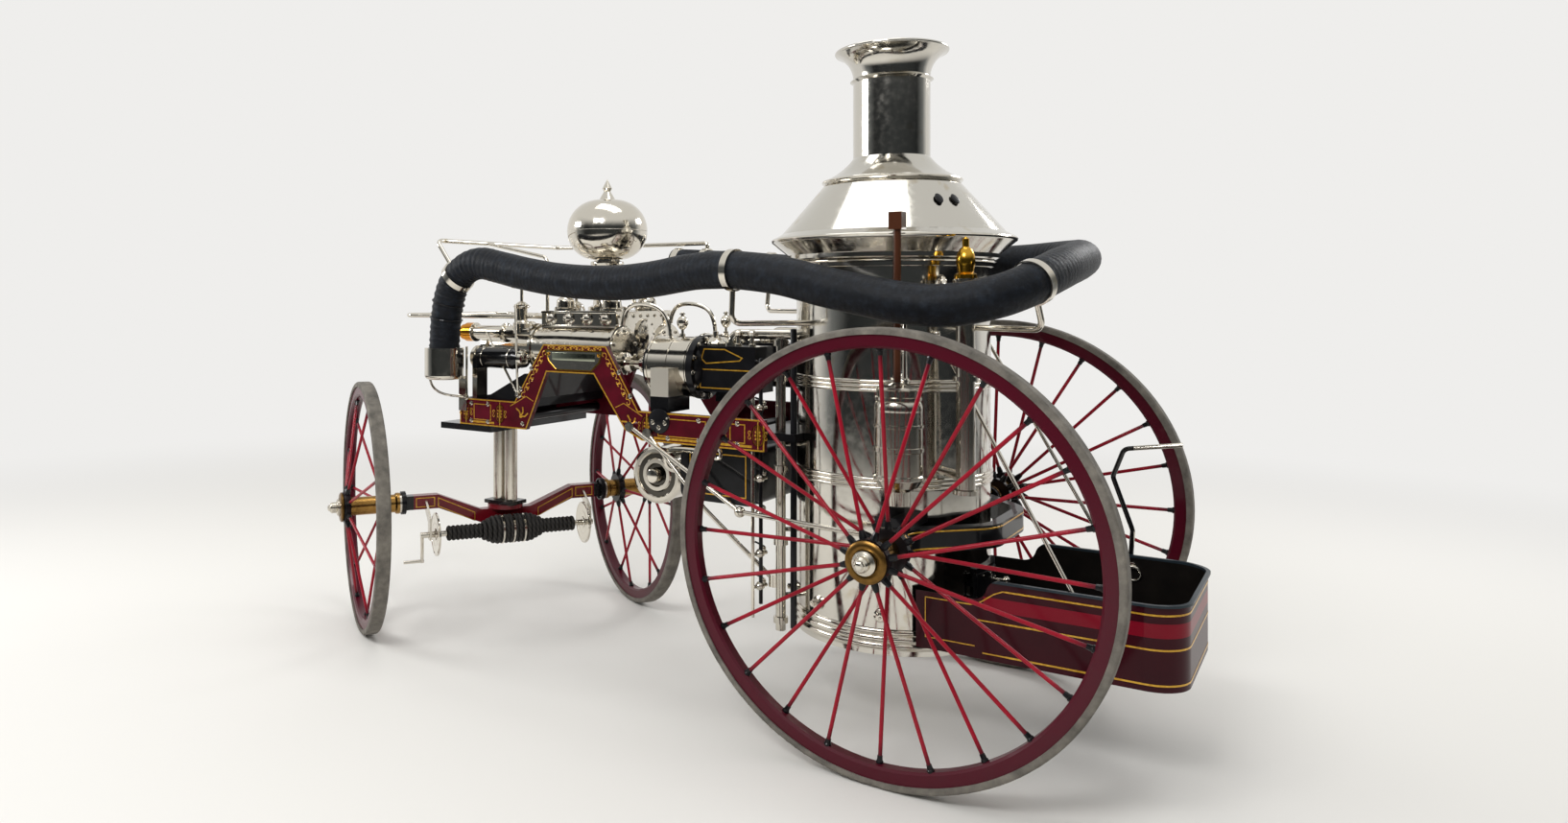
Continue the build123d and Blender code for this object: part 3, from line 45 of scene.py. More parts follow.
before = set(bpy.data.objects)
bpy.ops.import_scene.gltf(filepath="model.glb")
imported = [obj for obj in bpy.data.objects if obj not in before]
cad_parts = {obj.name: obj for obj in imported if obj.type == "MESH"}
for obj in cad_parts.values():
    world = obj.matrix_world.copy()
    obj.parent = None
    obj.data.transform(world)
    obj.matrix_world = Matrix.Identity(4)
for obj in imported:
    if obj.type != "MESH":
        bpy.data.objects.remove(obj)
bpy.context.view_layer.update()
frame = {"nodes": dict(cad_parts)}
NODES = frame["nodes"]


def middle(node):
    """The middle of a node's box."""
    low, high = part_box(node)
    return (Vector(low) + Vector(high)) / 2


# Places are metres from the middle of the rear axle: X to the rear, Y to the engine's right, Z up
REAR_AXLE_X = middle("rear_left_tyre").x
REAR_WHEEL_R = middle("rear_left_tyre").z
FRONT_WHEEL_R = middle("front_left_tyre").z
HALF_TRACK = middle("rear_right_tyre").y
KINGPIN_X = (middle("front_left_tyre").x + middle("front_right_tyre").x) / 2
AXLE_RUN = middle("front_right_tyre") - middle("front_left_tyre")
STEER_REST = math.atan2(AXLE_RUN.x, AXLE_RUN.y)
FORE_CARRIAGE = Matrix.Translation((KINGPIN_X, 0, 0)) @ Matrix.Rotation(-STEER_REST, 4, "Z")


def extent(node):
    """A node's box with X counted from the rear axle."""
    return [Vector(corner) - Vector((REAR_AXLE_X, 0, 0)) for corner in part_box(node)]


def spot(x, y, z):
    """A point given from the rear axle, in the frame's own coordinates."""
    return Vector((REAR_AXLE_X + x, y, z))


FRAME_LOW, FRAME_HIGH = extent("frame_sides")
FRAME_OUT_Y = FRAME_HIGH.y
FRAME_DEPTH = 0.125
FRAME_TOP = FRAME_LOW.z + FRAME_DEPTH
NECK_X = -1.5455
LIFT = 0.0004
HUB_HALF = 0.165
SEAT_GAP = 0.0003
BOW_ARM = 0.115
BOW_ARM_Y = HALF_TRACK - HUB_HALF - SEAT_GAP - BOW_ARM
TRAY_HIGH = extent("coal_tray")[1]
TRAY_SIDE_Y = 0.34
PUMP_LOW, PUMP_HIGH = extent("pump_body")
PUMP_X = -1.632
BOILER_LOW, BOILER_HIGH = extent("boiler_shell")
BOILER_X = (BOILER_LOW.x + BOILER_HIGH.x) / 2
BOILER_R = (BOILER_HIGH.x - BOILER_LOW.x) / 2

# Steam cylinders: their jackets' front face, axis and radius, the rear heads, the heads' bolts, the chests
JACKET_X = -1.205
JACKET_Y = 0.19
JACKET_Z = 1.325
JACKET_R = 0.13
HEAD_X = -0.965
HEAD_BOLTS_R = 0.122
CHEST_X = -0.925

# Where one casting changes finish, and the suction drum's axis
FOOT_TOP_Z = 1.205
FOOT_REAR_X = REAR_AXLE_X - 1.01
AIR_NOSE_X = REAR_AXLE_X - 2.169
AIR_FOOT_Z = 1.286
OUTLET_MOUTH_X = REAR_AXLE_X - 2.285
HUB_CAP_Y = 0.104
DRUM_X, DRUM_Z = -1.18, 0.854

# Wheels: the depths of tyre and rim, the fit between them, and the spokes' ends: their distance from
# the hub's axis, and from the wheel's middle at the hub and at the rim
TYRE_DEPTH = 0.024
RUNNING_FIT = 0.0001
RIM_DEPTH = 0.046
SPOKE_FOOT_R = 0.059
SPOKE_FOOT_Y = 0.088
SPOKE_HEAD_Y = 0.009

# The rope's turns on the reel: their run, the heap in the middle with its slope down to its end, and the
# single layer past it, then the discs' place
ROPE_RUN = 0.68
HEAP_R = 0.061
HEAP_HALF = 0.09
HEAP_SLOPE = 0.42
HEAP_END = 0.16
ROPE_END_R = 0.0265
DISC_Y = 0.3835

# Tray lines: bottom, middle and top, the front panel's, and the crimson band between them, a painted
# highlight along a moulded ridge
TRAY_LINES = (0.382, 0.495, 0.606)
TRAY_PANEL = (0.402, 0.545)
TRAY_HIGHLIGHT_BAND = (0.533, 0.579)
TRAY_STEP_X = 0.235

# Hose: its radius and facets, its folds' spacing, their depth inside bends and at the front, how far the
# front ones run, and the height of its lumps
HOSE_R = 0.075
HOSE_FACETS = 10
FOLD_PITCH = 0.030
FOLD_DEPTH = 0.0034
FRONT_FOLD_DEPTH = 0.0032
FRONT_FOLD_RUN = 0.85
LUMP_HEIGHT = 0.0016

# The hose's centre line, from its cup on the left round the boiler to its far end on the right
HOSE_POINTS = (
    (-2.25, -0.47, 1.295),
    (-2.25, -0.47, 1.64),
    (-2.06, -0.48, 1.80),
    (-1.84, -0.49, 1.75),
    (-1.50, -0.50, 1.69),
    (-1.12, -0.505, 1.68),
    (-0.80, -0.515, 1.735),
    (-0.50, -0.545, 1.72),
    (-0.20, -0.56, 1.645),
    (0.13, -0.558, 1.582),
    (0.36, -0.47, 1.63),
    (0.45, -0.24, 1.715),
    (0.46, 0.08, 1.76),
    (0.41, 0.37, 1.78),
    (0.20, 0.54, 1.775),
    (-0.15, 0.56, 1.755),
    (-0.50, 0.53, 1.74),
    (-0.85, 0.515, 1.745),
    (-1.20, 0.505, 1.78),
    (-1.56, 0.50, 1.80),
)

# The colour of the backdrop, and the camera: its place, level direction, lens in mm and shift
PALE = "#EFEEEC"
CAMERA_PLACE = (1.309, -4.047, 1.618)
CAMERA_TURN = math.radians(35.43)
CAMERA_AIM = (-math.sin(CAMERA_TURN), math.cos(CAMERA_TURN), 0)
CAMERA_LENS = 24.0
CAMERA_SHIFT = (0.106, -0.072)

# Name, place, target, width and power of each lamp
LAMPS = (
    ("key", (0.6, -6.0, 5.6), (0, 0, 0.9), 3.0, 230),
    ("front_fill", (-6.0, -3.4, 3.6), (-1.0, 0, 0.9), 2.6, 130),
    ("rear_rim", (3.5, 5.5, 4.5), (0.3, 0, 1.2), 2.6, 120),
    ("over", (0, 0, 6.5), (0, 0, 0), 4.0, 60),
)

MM = 0.001
FORE, AFT, UP = Vector((-1, 0, 0)), Vector((1, 0, 0)), Vector((0, 0, 1))
SIDES = (-1, 1)

# Each wheel's name, side, radius, number of spokes and turn about Z
AXLES = (("front", FRONT_WHEEL_R, 16, -STEER_REST), ("rear", REAR_WHEEL_R, 24, 0))
WHEELS = [(f"{end}_{hand}", side, radius, spokes, turn) for end, radius, spokes, turn in AXLES
          for hand, side in (("left", -1), ("right", 1))]

# A piece's slot and finish
NICKEL = ("polished_nickel", "polished_nickel_plate")
BLACK = ("black_enamel", "black_stove_enamel")
GOLD = "varnished_gold_leaf"


# Colour and shaders
def colour(text):
    """An sRGB hex colour as linear numbers."""
    values = [int(text[i:i + 2], 16) / 255 for i in (1, 3, 5)]
    return [v / 12.92 if v <= 0.04045 else ((v + 0.055) / 1.055) ** 2.4 for v in values] + [1.0]


def grey(value):
    """A linear grey."""
    return [value, value, value, 1.0]


def add_node(tree, kind, links=None, stops=None, **settings):
    """Adds a shader node with its settings and links, and gives its first live output."""
    node = tree.nodes.new("ShaderNode" + kind)
    for name, value in settings.items():
        setattr(node, name, value)
    for socket, value in (links or {}).items():
        if isinstance(value, bpy.types.NodeSocket):
            tree.links.new(value, node.inputs[socket])
        else:
            node.inputs[socket].default_value = colour(value) if isinstance(value, str) else value
    if stops:
        elements = node.color_ramp.elements
        while len(elements) < len(stops):
            elements.new(0.5)
        for element, (position, tint) in zip(elements, stops):
            element.position = position
            element.color = colour(tint) if isinstance(tint, str) else tint
    return next((output for output in node.outputs if output.enabled), node)


def start_material(name):
    """An empty material's tree, and the Object coordinates that its patterns read."""
    material = bpy.data.materials.new(name)
    material.use_nodes = True
    tree = material.node_tree
    tree.nodes.clear()
    return material, tree, add_node(tree, "TexCoord").node.outputs["Object"]


def end_material(material, tree, **shader):
    """Gives a material its Principled shader."""
    names = {"base": "Base Color", "metal": "Metallic", "rough": "Roughness", "coat": "Coat Weight",
             "coat_rough": "Coat Roughness", "sheen": "Sheen Weight", "shine": "Specular IOR Level",
             "normal": "Normal"}
    surface = add_node(tree, "BsdfPrincipled", {names[key]: value for key, value in shader.items()})
    add_node(tree, "OutputMaterial", {"Surface": surface})
    return material


def features(point, size_mm, detail=4.0, rough=0.5):
    """What a noise reads for features of a real size."""
    return {"Vector": point, "Scale": 1 / (size_mm * MM), "Detail": detail, "Roughness": rough}


def mottled(tree, point, size_mm, stops, detail=4.0, rough=0.5):
    """A colour that drifts between stops over spots of a real size."""
    spots = add_node(tree, "TexNoise", features(point, size_mm, detail, rough))
    return add_node(tree, "ValToRGB", {"Fac": spots}, stops)


def scuffed(tree, point, size_mm, low, high, detail=4.0, rough=0.5):
    """A roughness that drifts between two values over spots of a real size."""
    spots = add_node(tree, "TexNoise", features(point, size_mm, detail, rough))
    span = {"From Min": 0.3, "From Max": 0.7, "To Min": low, "To Max": high}
    return add_node(tree, "MapRange", {"Value": spots, **span})


def dented(tree, point, size_mm, depth_mm, detail=2.0):
    """Bump of a real size and depth."""
    height = add_node(tree, "TexNoise", features(point, size_mm, detail))
    return add_node(tree, "Bump", {"Height": height, "Distance": depth_mm * MM})


def layered(tree, base, *layers):
    """A base colour with others over it, each where its mask is 1."""
    for mask, over in layers:
        base = add_node(tree, "Mix", {0: mask, 6: base, 7: over}, data_type="RGBA")
    return base


def within(tree, value, low=None, high=None, where=1.0):
    """A mask of where a value lies between limits, either of which may be open, inside another mask."""
    for limit, how in ((low, "GREATER_THAN"), (high, "LESS_THAN")):
        if limit is not None:
            test = add_node(tree, "Math", {0: value, 1: limit}, operation=how)
            where = add_node(tree, "Math", {0: test, 1: where}, operation="MULTIPLY")
    return where


def from_axis(tree, axes, first, second, centre, magnitude=False):
    """Distance from an axis through centre, in the plane of two coordinates, the first perhaps unsigned."""
    flat = {0: axes[first], 1: axes[second]}
    if magnitude:
        flat[0] = add_node(tree, "Math", {0: axes[first]}, operation="ABSOLUTE")
    point = add_node(tree, "CombineXYZ", flat)
    away = add_node(tree, "VectorMath", {0: point, 1: (*centre, 0)}, operation="SUBTRACT")
    return add_node(tree, "VectorMath", {0: away}, operation="LENGTH")


def room_tint(tree, direction):
    """Colour of the studio in a direction: the pale backdrop ahead of the camera, a dim room behind it."""
    ahead = add_node(tree, "VectorMath", {0: direction, 1: CAMERA_AIM}, operation="DOT_PRODUCT")
    share = add_node(tree, "MapRange", {"Value": ahead, "From Min": -1.0})
    room = [(0.0, "#3A3D3E"), (0.3, "#2A2C2D"), (0.5, "#7D8081"), (0.68, PALE)]
    return add_node(tree, "ValToRGB", {"Fac": share}, room)


# Finishes
def even_finish(name, stops, spot_mm, dent_mm, depth_mm, detail=4.0, dent_detail=2.0, scuff=None, **shader):
    """One material all over: its colour drifts, its surface ripples, and its polish may be scuffed."""
    material, tree, point = start_material(name)
    if scuff:
        shader["rough"] = scuffed(tree, point, *scuff)
    return end_material(material, tree, base=mottled(tree, point, spot_mm, stops, detail),
                        normal=dented(tree, point, dent_mm, depth_mm, dent_detail), **shader)


def polished_nickel(name="polished_nickel_plate", waviness=0.6, tint="#D8D2C6"):
    """Nickel plate buffed by hand: a warm mirror that ripples, with faint tarnish."""
    return even_finish(name, [(0.35, tint), (0.62, tint), (0.85, "#B3A27F")], 90, 130, waviness, 3, 1,
                       (24, 0.06, 0.17), metal=1.0)


def coach_enamel(name, tint, deep):
    """Coach enamel brushed and varnished: deep colour under a glossy coat with slight orange peel."""
    return even_finish(name, [(0.3, tint), (0.75, deep)], 70, 5, 0.05, rough=0.36, shine=0.08, coat=0.35,
                       coat_rough=0.06)


def small_finishes():
    """The finishes of the small pieces."""
    # Gold leaf laid on size and varnished: warm and slightly broken, not a mirror
    even_finish(GOLD, [(0.3, "#E6B53E"), (0.7, "#C08A22")], 12, 12, 0.08, dent_detail=4, metal=0.75,
                rough=0.36, coat=0.4)
    # Brass, spun and lacquered: yellow, its tone drifting in spots
    even_finish("lacquered_brass", [(0.3, "#D9A93C"), (0.75, "#A87420")], 18, 30, 0.2, metal=1.0, rough=0.2)
    # Bronze, cast and turned, dulled brown by handling
    even_finish("dulled_bronze", [(0.0, "#8E6A34"), (1.0, "#4E3A22")], 16, 16, 0.1, dent_detail=4,
                metal=1.0, rough=0.3)
    # Vitreous enamel fired on a dial, under glass: white and smooth
    even_finish("white_dial_enamel", [(0.0, "#E9E4D6"), (1.0, "#E9E4D6")], 10, 10, 0.02, rough=0.25, coat=0.8)


def wheel_enamel(name, centre, turn, radius):
    """Wheel enamel, varnished: crimson spokes with dark ends and a deep maroon rim."""
    material, tree, point = start_material(name)
    around = add_node(tree, "Mapping", {"Vector": point, "Location": centre, "Rotation": (0, 0, turn)},
                      vector_type="TEXTURE")
    flat = add_node(tree, "VectorMath", {0: around, 1: (1, 0, 1)}, operation="MULTIPLY")
    out = add_node(tree, "VectorMath", {0: flat}, operation="LENGTH")
    share = add_node(tree, "Math", {0: out, 1: radius}, operation="DIVIDE")
    rim = 1 - 0.073 / radius
    bands = [(0.0, "#101012"), (0.082 / radius, "#141012"), (0.125 / radius, "#8C0A20"),
             (rim - 0.075 / radius, "#960C24"), (rim - 0.012 / radius, "#420818"), (rim, "#4A091B")]
    paint = add_node(tree, "ValToRGB", {"Fac": share}, bands)
    dust = mottled(tree, point, 45, [(0.5, grey(0.0)), (0.9, grey(0.3))])
    return end_material(material, tree, base=layered(tree, paint, (dust, "#3C1A20")), rough=0.4, shine=0.1,
                        coat=0.3, coat_rough=0.1, normal=dented(tree, point, 4, 0.05))


def hub_bronze(name, centre, turn, side):
    """Cast bronze hub, turned, dulled by handling, with its outer cap nickel plated."""
    material, tree, point = start_material(name)
    around = add_node(tree, "Mapping", {"Vector": point, "Location": centre, "Rotation": (0, 0, turn)},
                      vector_type="TEXTURE")
    across = add_node(tree, "SeparateXYZ", {0: around}).node.outputs[1]
    sideways = add_node(tree, "Math", {0: across, 1: side}, operation="MULTIPLY")
    bronze = mottled(tree, point, 16, [(0.0, "#BC9350"), (1.0, "#7A5A30")])
    rings = add_node(tree, "TexWave", {"Vector": around, "Scale": 90.0}, bands_direction="Y")
    paint = layered(tree, bronze, (within(tree, sideways, HUB_CAP_Y), "#CFC8BA"))
    tool_marks = add_node(tree, "Bump", {"Height": rings, "Distance": 0.06 * MM})
    return end_material(material, tree, base=paint, metal=1.0, rough=0.22, normal=tool_marks)


def tyre_rubber():
    """Solid rubber tyre, vulcanised: worn grey and chalky, with fine cracks."""
    material, tree, point = start_material("vulcanised_tyre_rubber")
    cracks = add_node(tree, "TexVoronoi", {"Vector": point, "Scale": 1 / (7 * MM)},
                      feature="DISTANCE_TO_EDGE")
    dust = mottled(tree, point, 60, [(0.25, "#47443F"), (0.55, "#6F6A62"), (0.8, "#8B857B")], 6, 0.65)
    relief = add_node(tree, "Bump", {"Height": cracks, "Distance": 0.5 * MM, "Strength": 0.5})
    return end_material(material, tree, base=dust, rough=0.86, normal=relief)


def tray_enamel():
    """Tray enamel: maroon outside with a crimson band that is a painted highlight along a moulded ridge,
    black inside, and a blued steel rim.
    """
    material, tree, point = start_material("coal_tray_enamel")
    from_middle = add_node(tree, "VectorMath", {0: point, 1: middle("coal_tray")}, operation="SUBTRACT")
    level = add_node(tree, "VectorMath", {0: from_middle, 1: (0.6, 1, 0)}, operation="MULTIPLY")
    normal = add_node(tree, "TexCoord").node.outputs["Normal"]
    facing = add_node(tree, "VectorMath", {0: normal, 1: level}, operation="DOT_PRODUCT")
    axes = add_node(tree, "SeparateXYZ", {0: point}).node.outputs
    maroon = mottled(tree, point, 80, [(0.0, "#2E0510"), (1.0, "#3C0713")], 5)
    soot = mottled(tree, point, 80, [(0.0, "#0C0C0D"), (1.0, "#25211E")], 5)
    # The crimson band is painted highlight: the light along a moulded ridge of the side, laid into the
    # enamel's colour
    band = within(tree, axes[2], *TRAY_HIGHLIGHT_BAND, where=within(tree, axes[0], REAR_AXLE_X + TRAY_STEP_X))
    paint = layered(tree, maroon, (band, "#7C0A20"), (within(tree, facing, high=0.001), soot),
                    (within(tree, axes[2], TRAY_HIGH.z - 0.0095), "#2B353C"))
    return end_material(material, tree, base=paint, rough=0.36, shine=0.06, coat=0.22, coat_rough=0.1,
                        normal=dented(tree, point, 40, 0.25, 4))


def axle_enamel():
    """Front beam: bright dark red enamel, black fifth wheel, bronze collars and nickel hangers."""
    material, tree, point = start_material("front_beam_enamel")
    around = add_node(tree, "Mapping", {"Vector": point, "Location": (KINGPIN_X, 0, FRONT_WHEEL_R),
                                        "Rotation": (0, 0, -STEER_REST)}, vector_type="TEXTURE")
    axes = add_node(tree, "SeparateXYZ", {0: around}).node.outputs
    sideways = add_node(tree, "Math", {0: axes[1]}, operation="ABSOLUTE")
    end, collar = within(tree, sideways, 0.475), within(tree, sideways, 0.541)
    hanger = within(tree, axes[0], 0.0285, where=within(tree, sideways, 0.12))
    paint = layered(tree, mottled(tree, point, 60, [(0.0, "#7A0F1C"), (1.0, "#5C0B16")]), (end, "#121213"),
                    (collar, "#8E6A34"), (hanger, "#D2CCC0"))
    return end_material(material, tree, base=paint, rough=0.26, shine=0.25, coat=0.3, coat_rough=0.06,
                        metal=add_node(tree, "Math", {0: hanger, 1: collar}, operation="MAXIMUM"),
                        normal=dented(tree, point, 6, 0.05))


def cast_finish(name, base, layers, satin=None, polish=0.13, dust=1.0, ripple=(120, 0.5)):
    """One casting in two or three finishes, each a colour and how metallic it is. Satin is where the polish
    is dull, dust darkens the first colour in spots, and the ripple's size and depth are in mm."""
    material, tree, point = start_material(name)
    axes = add_node(tree, "SeparateXYZ", {0: point}).node.outputs
    dusty = [value * dust for value in colour(base[0])[:3]] + [1.0]
    tint, metal = mottled(tree, point, 30, [(0.0, base[0]), (1.0, dusty)]), grey(base[1])
    for mask, (over, shine) in layers:
        where = mask(tree, axes)
        tint, metal = layered(tree, tint, (where, over)), layered(tree, metal, (where, grey(shine)))
    rough = layered(tree, grey(polish), (satin(tree, axes), grey(polish + 0.3))) if satin else polish
    return end_material(material, tree, base=tint, metal=metal, rough=rough,
                        normal=dented(tree, point, *ripple, 1))


def past(axis, limit):
    """A mask of what lies past a limit on an axis."""
    return lambda tree, axes: within(tree, axes[axis], limit)


def jacket_foot(tree, axes):
    """The upper part of the jackets' feet."""
    away = from_axis(tree, axes, 1, 2, (JACKET_Y, JACKET_Z), magnitude=True)
    upper = within(tree, axes[2], FOOT_TOP_Z, where=within(tree, axes[0], high=FOOT_REAR_X))
    return within(tree, away, JACKET_R + 0.0006, where=upper)


def jacket_plate(tree, axes):
    """The round jackets, and the upper part of the feet against them."""
    away = from_axis(tree, axes, 1, 2, (JACKET_Y, JACKET_Z), magnitude=True)
    return add_node(tree, "Math", {0: within(tree, away, high=JACKET_R + 0.0006), 1: jacket_foot(tree, axes)},
                    operation="MAXIMUM")


def air_cylinder_body(tree, axes):
    """The cylinders' black bodies, behind their nickel noses and above their nickel feet."""
    return within(tree, axes[0], AIR_NOSE_X, where=within(tree, axes[2], AIR_FOOT_Z))


def left_outlet_mouth(tree, axes):
    """The front of the left outlet."""
    return within(tree, axes[0], high=OUTLET_MOUTH_X, where=within(tree, axes[1], high=-0.15))


def drum_grooves(tree, axes):
    """The turned grooves in the suction drum's ends, the outer and the inner one."""
    away = from_axis(tree, axes, 0, 2, (REAR_AXLE_X + DRUM_X, DRUM_Z))
    return add_node(tree, "Math", {0: within(tree, away, 0.073, 0.093), 1: within(tree, away, 0.030, 0.047)},
                    operation="MAXIMUM")


def rubbered_canvas():
    """Hose canvas, rubbered and wound over a wire helix: blue-black, dull, finely ribbed and creased, with
    painted shade in the hollows of its folds and a painted highlight on their ridges.
    """
    material, tree, point = start_material("rubbered_hose_canvas")
    along = add_node(tree, "Attribute", attribute_name="along").node.outputs["Fac"]
    turns = add_node(tree, "Math", {0: along, 1: 2 * math.pi / (21 * MM)}, operation="MULTIPLY")
    ribs = add_node(tree, "Math", {0: turns}, operation="SINE")
    height = 0.0
    for size_mm, detail, rough, share in ((34, 7, 0.62, 1.4), (5, 5, 0.7, 0.3)):
        folds = add_node(tree, "TexNoise", features(point, size_mm, detail, rough))
        height = add_node(tree, "Math", {0: folds, 1: share, 2: height}, operation="MULTIPLY_ADD")
    height = add_node(tree, "Math", {0: ribs, 1: 0.08, 2: height}, operation="MULTIPLY_ADD")
    # The colour follows the same noise as the 34 mm folds: painted shade in their hollows, painted highlight
    # on their ridges
    painted_fold_shade = mottled(tree, point, 34, [(0.25, "#07090D"), (0.5, "#0E1219"), (0.75, "#1D242D")], 7, 0.62)
    relief = add_node(tree, "Bump", {"Height": height, "Distance": 2.6 * MM})
    return end_material(material, tree, base=painted_fold_shade, rough=scuffed(tree, point, 5, 0.38, 0.66, 5, 0.7),
                        shine=0.2, sheen=0.01, normal=relief)


def tarred_rope():
    """Hemp rope, laid and tarred: black, with the lay of its strands just showing."""
    material, tree, point = start_material("tarred_hemp_rope")
    lay = add_node(tree, "TexWave", {"Vector": point, "Scale": 22.0, "Distortion": 1.5},
                   bands_direction="DIAGONAL")
    tar = add_node(tree, "ValToRGB", {"Fac": lay}, [(0.2, "#0B0A09"), (0.9, "#2A2622")])
    relief = add_node(tree, "Bump", {"Height": lay, "Distance": 1.5 * MM})
    return end_material(material, tree, base=tar, rough=0.75, normal=relief)


# Shapes, each a closed bmesh of its own
def lathe(profile, steps, ring=False):
    """Spins a (radius, height) profile about Z. A ring's profile closes on itself."""
    shape = bmesh.new()
    verts = [shape.verts.new((radius, 0, height)) for radius, height in profile]
    pairs = list(zip(verts, verts[1:])) + ([(verts[-1], verts[0])] if ring else [])
    edges = [shape.edges.new(pair) for pair in pairs]
    bmesh.ops.spin(shape, geom=verts + edges, cent=(0, 0, 0), axis=(0, 0, 1), dvec=(0, 0, 0),
                   angle=2 * math.pi, steps=steps, use_merge=True, use_duplicate=False)
    bmesh.ops.remove_doubles(shape, verts=shape.verts, dist=1e-6)
    bmesh.ops.recalc_face_normals(shape, faces=shape.faces)
    return shape


def turned(profile, steps, ring=False):
    """A lathe's work from a profile in mm."""
    return lathe([(radius * MM, height * MM) for radius, height in profile], steps, ring)


def drum(radius, height, edge=0.15, steps=24):
    """A short solid cylinder with a rounded front edge."""
    cut = edge * min(radius, height)
    return lathe([(0, 0), (radius, 0), (radius, height - cut), (radius - cut * 0.3, height - cut * 0.3),
                  (radius - cut, height), (0, height)], steps)


def hoop(radius, wire, steps=36, sides=10):
    """A ring of round wire about Z."""
    turns = [2 * math.pi * number / sides for number in range(sides)]
    return lathe([(radius + wire * math.cos(t), wire * math.sin(t)) for t in turns], steps, ring=True)


def hex_bolt(size, height):
    """A six-sided head on a washer, with a domed top."""
    shape = drum(size * 1.35, height * 0.25, steps=12)
    head = bmesh.new()
    bmesh.ops.create_cone(head, cap_ends=True, segments=6, radius1=size, radius2=size * 0.96, depth=height,
                          matrix=Matrix.Translation((0, 0, height * 0.7)))
    join(shape, head)
    join(shape, lathe([(0, 0), (size * 0.62, 0), (size * 0.4, height * 0.3), (0, height * 0.4)], 10),
         Matrix.Translation((0, 0, height * 1.1)))
    return shape


def bar(start, end, radius, steps=10):
    """A round bar between two points."""
    start, end = Vector(start), Vector(end)
    shape = drum(radius, (end - start).length, 0.4, steps)
    bmesh.ops.transform(shape, matrix=aimed(start, end - start), verts=shape.verts)
    return shape


def slab(size, place=(0, 0, 0), edge=0.003):
    """A box with eased edges."""
    shape = bmesh.new()
    bmesh.ops.create_cube(shape, size=1.0)
    bmesh.ops.scale(shape, vec=size, verts=shape.verts)
    bmesh.ops.bevel(shape, geom=shape.edges[:], offset=edge, segments=2, profile=0.5, affect="EDGES",
                    material=-1)
    bmesh.ops.translate(shape, vec=place, verts=shape.verts)
    return shape


def lining(outline, inset, width, thick=0.0008):
    """A gold line of one width that runs inside an outline in XZ."""
    shape = bmesh.new()
    panel = shape.faces.new([shape.verts.new((x, 0, z)) for x, z in outline])
    margin = bmesh.ops.inset_region(shape, faces=[panel], thickness=inset, use_even_offset=True,
                                    use_boundary=True)
    line = bmesh.ops.inset_region(shape, faces=[panel], thickness=width, use_even_offset=True,
                                  use_boundary=True)
    bmesh.ops.delete(shape, geom=margin["faces"] + [panel], context="FACES")
    bmesh.ops.solidify(shape, geom=line["faces"], thickness=thick)
    bmesh.ops.recalc_face_normals(shape, faces=shape.faces)
    return shape


def curve_mesh(points, kind, **settings):
    """The mesh of a curve with its settings, through points or along them."""
    data = bpy.data.curves.new("line", "CURVE")
    for name, value in settings.items():
        setattr(data, name, value)
    spline = data.splines.new(kind)
    spline.points.add(len(points) - 1)
    for point, place in zip(spline.points, points):
        point.co = (*place, 1)
    spline.order_u = 3
    spline.use_endpoint_u = True
    holder = bpy.data.objects.new("line", data)
    mesh = bpy.data.meshes.new_from_object(holder)
    bpy.data.objects.remove(holder)
    bpy.data.curves.remove(data)
    return mesh


def swept(points, kind, **settings):
    """A thick curve as a shape."""
    mesh = curve_mesh(points, kind, **settings)
    shape = bmesh.new()
    shape.from_mesh(mesh)
    bpy.data.meshes.remove(mesh)
    bmesh.ops.remove_doubles(shape, verts=shape.verts, dist=1e-6)
    bmesh.ops.recalc_face_normals(shape, faces=shape.faces)
    return shape


def pipe(points, radius, turns=5):
    """A bent pipe along a smooth spline through its corners' middles."""
    return swept(points, "NURBS", dimensions="3D", bevel_depth=radius, bevel_resolution=3, resolution_u=turns,
                 use_fill_caps=True)


def ribbon(path, z, width, thick=0.0006):
    """A thin upright band of one width that follows a level path."""
    shape = swept([(x, y, 0) for x, y in path], "POLY", dimensions="2D", extrude=width / 2, bevel_depth=thick,
                  bevel_resolution=0, fill_mode="NONE")
    bmesh.ops.translate(shape, vec=(0, 0, z), verts=shape.verts)
    return shape


def trace(path, width):
    """A thin raised gold line along a path in XZ."""
    shape = swept([(x, 0, z) for x, z in path], "POLY", dimensions="3D", bevel_depth=width / 2,
                  bevel_resolution=1, use_fill_caps=True)
    bmesh.ops.scale(shape, vec=(1, 0.3, 1), verts=shape.verts)
    return shape


def rounded(points, radius, steps=8):
    """A level path whose corners are arcs of one radius."""
    path = [points[0]]
    for before, corner, after in zip(points, points[1:], points[2:]):
        corner = Vector(corner)
        first, second = (Vector(before) - corner).normalized(), (Vector(after) - corner).normalized()
        half = first.angle(second) / 2
        run = radius / math.tan(half)
        centre = corner + (first + second).normalized() * (radius / math.sin(half))
        start, end = corner + first * run - centre, corner + second * run - centre
        for number in range(steps + 1):
            path.append(tuple(centre + start.slerp(end, number / steps).normalized() * radius))
    return path + [points[-1]]


def offset_path(path, distance):
    """The path moved sideways, to the left of its direction where the distance is positive."""
    moved = []
    for number, point in enumerate(path):
        before, after = path[max(0, number - 1)], path[min(len(path) - 1, number + 1)]
        way = (Vector(after) - Vector(before)).normalized()
        moved.append((point[0] - way.y * distance, point[1] + way.x * distance))
    return moved


# Places
def aimed(point, direction):
    """The place at a point whose Z looks along a direction."""
    return Matrix.Translation(point) @ Vector(direction).to_track_quat("Z", "Y").to_matrix().to_4x4()


def at(x, y, z, way=None):
    """A place given from the rear axle, whose Z looks up or along a way."""
    return Matrix.Translation(spot(x, y, z)) if way is None else aimed(spot(x, y, z), way)


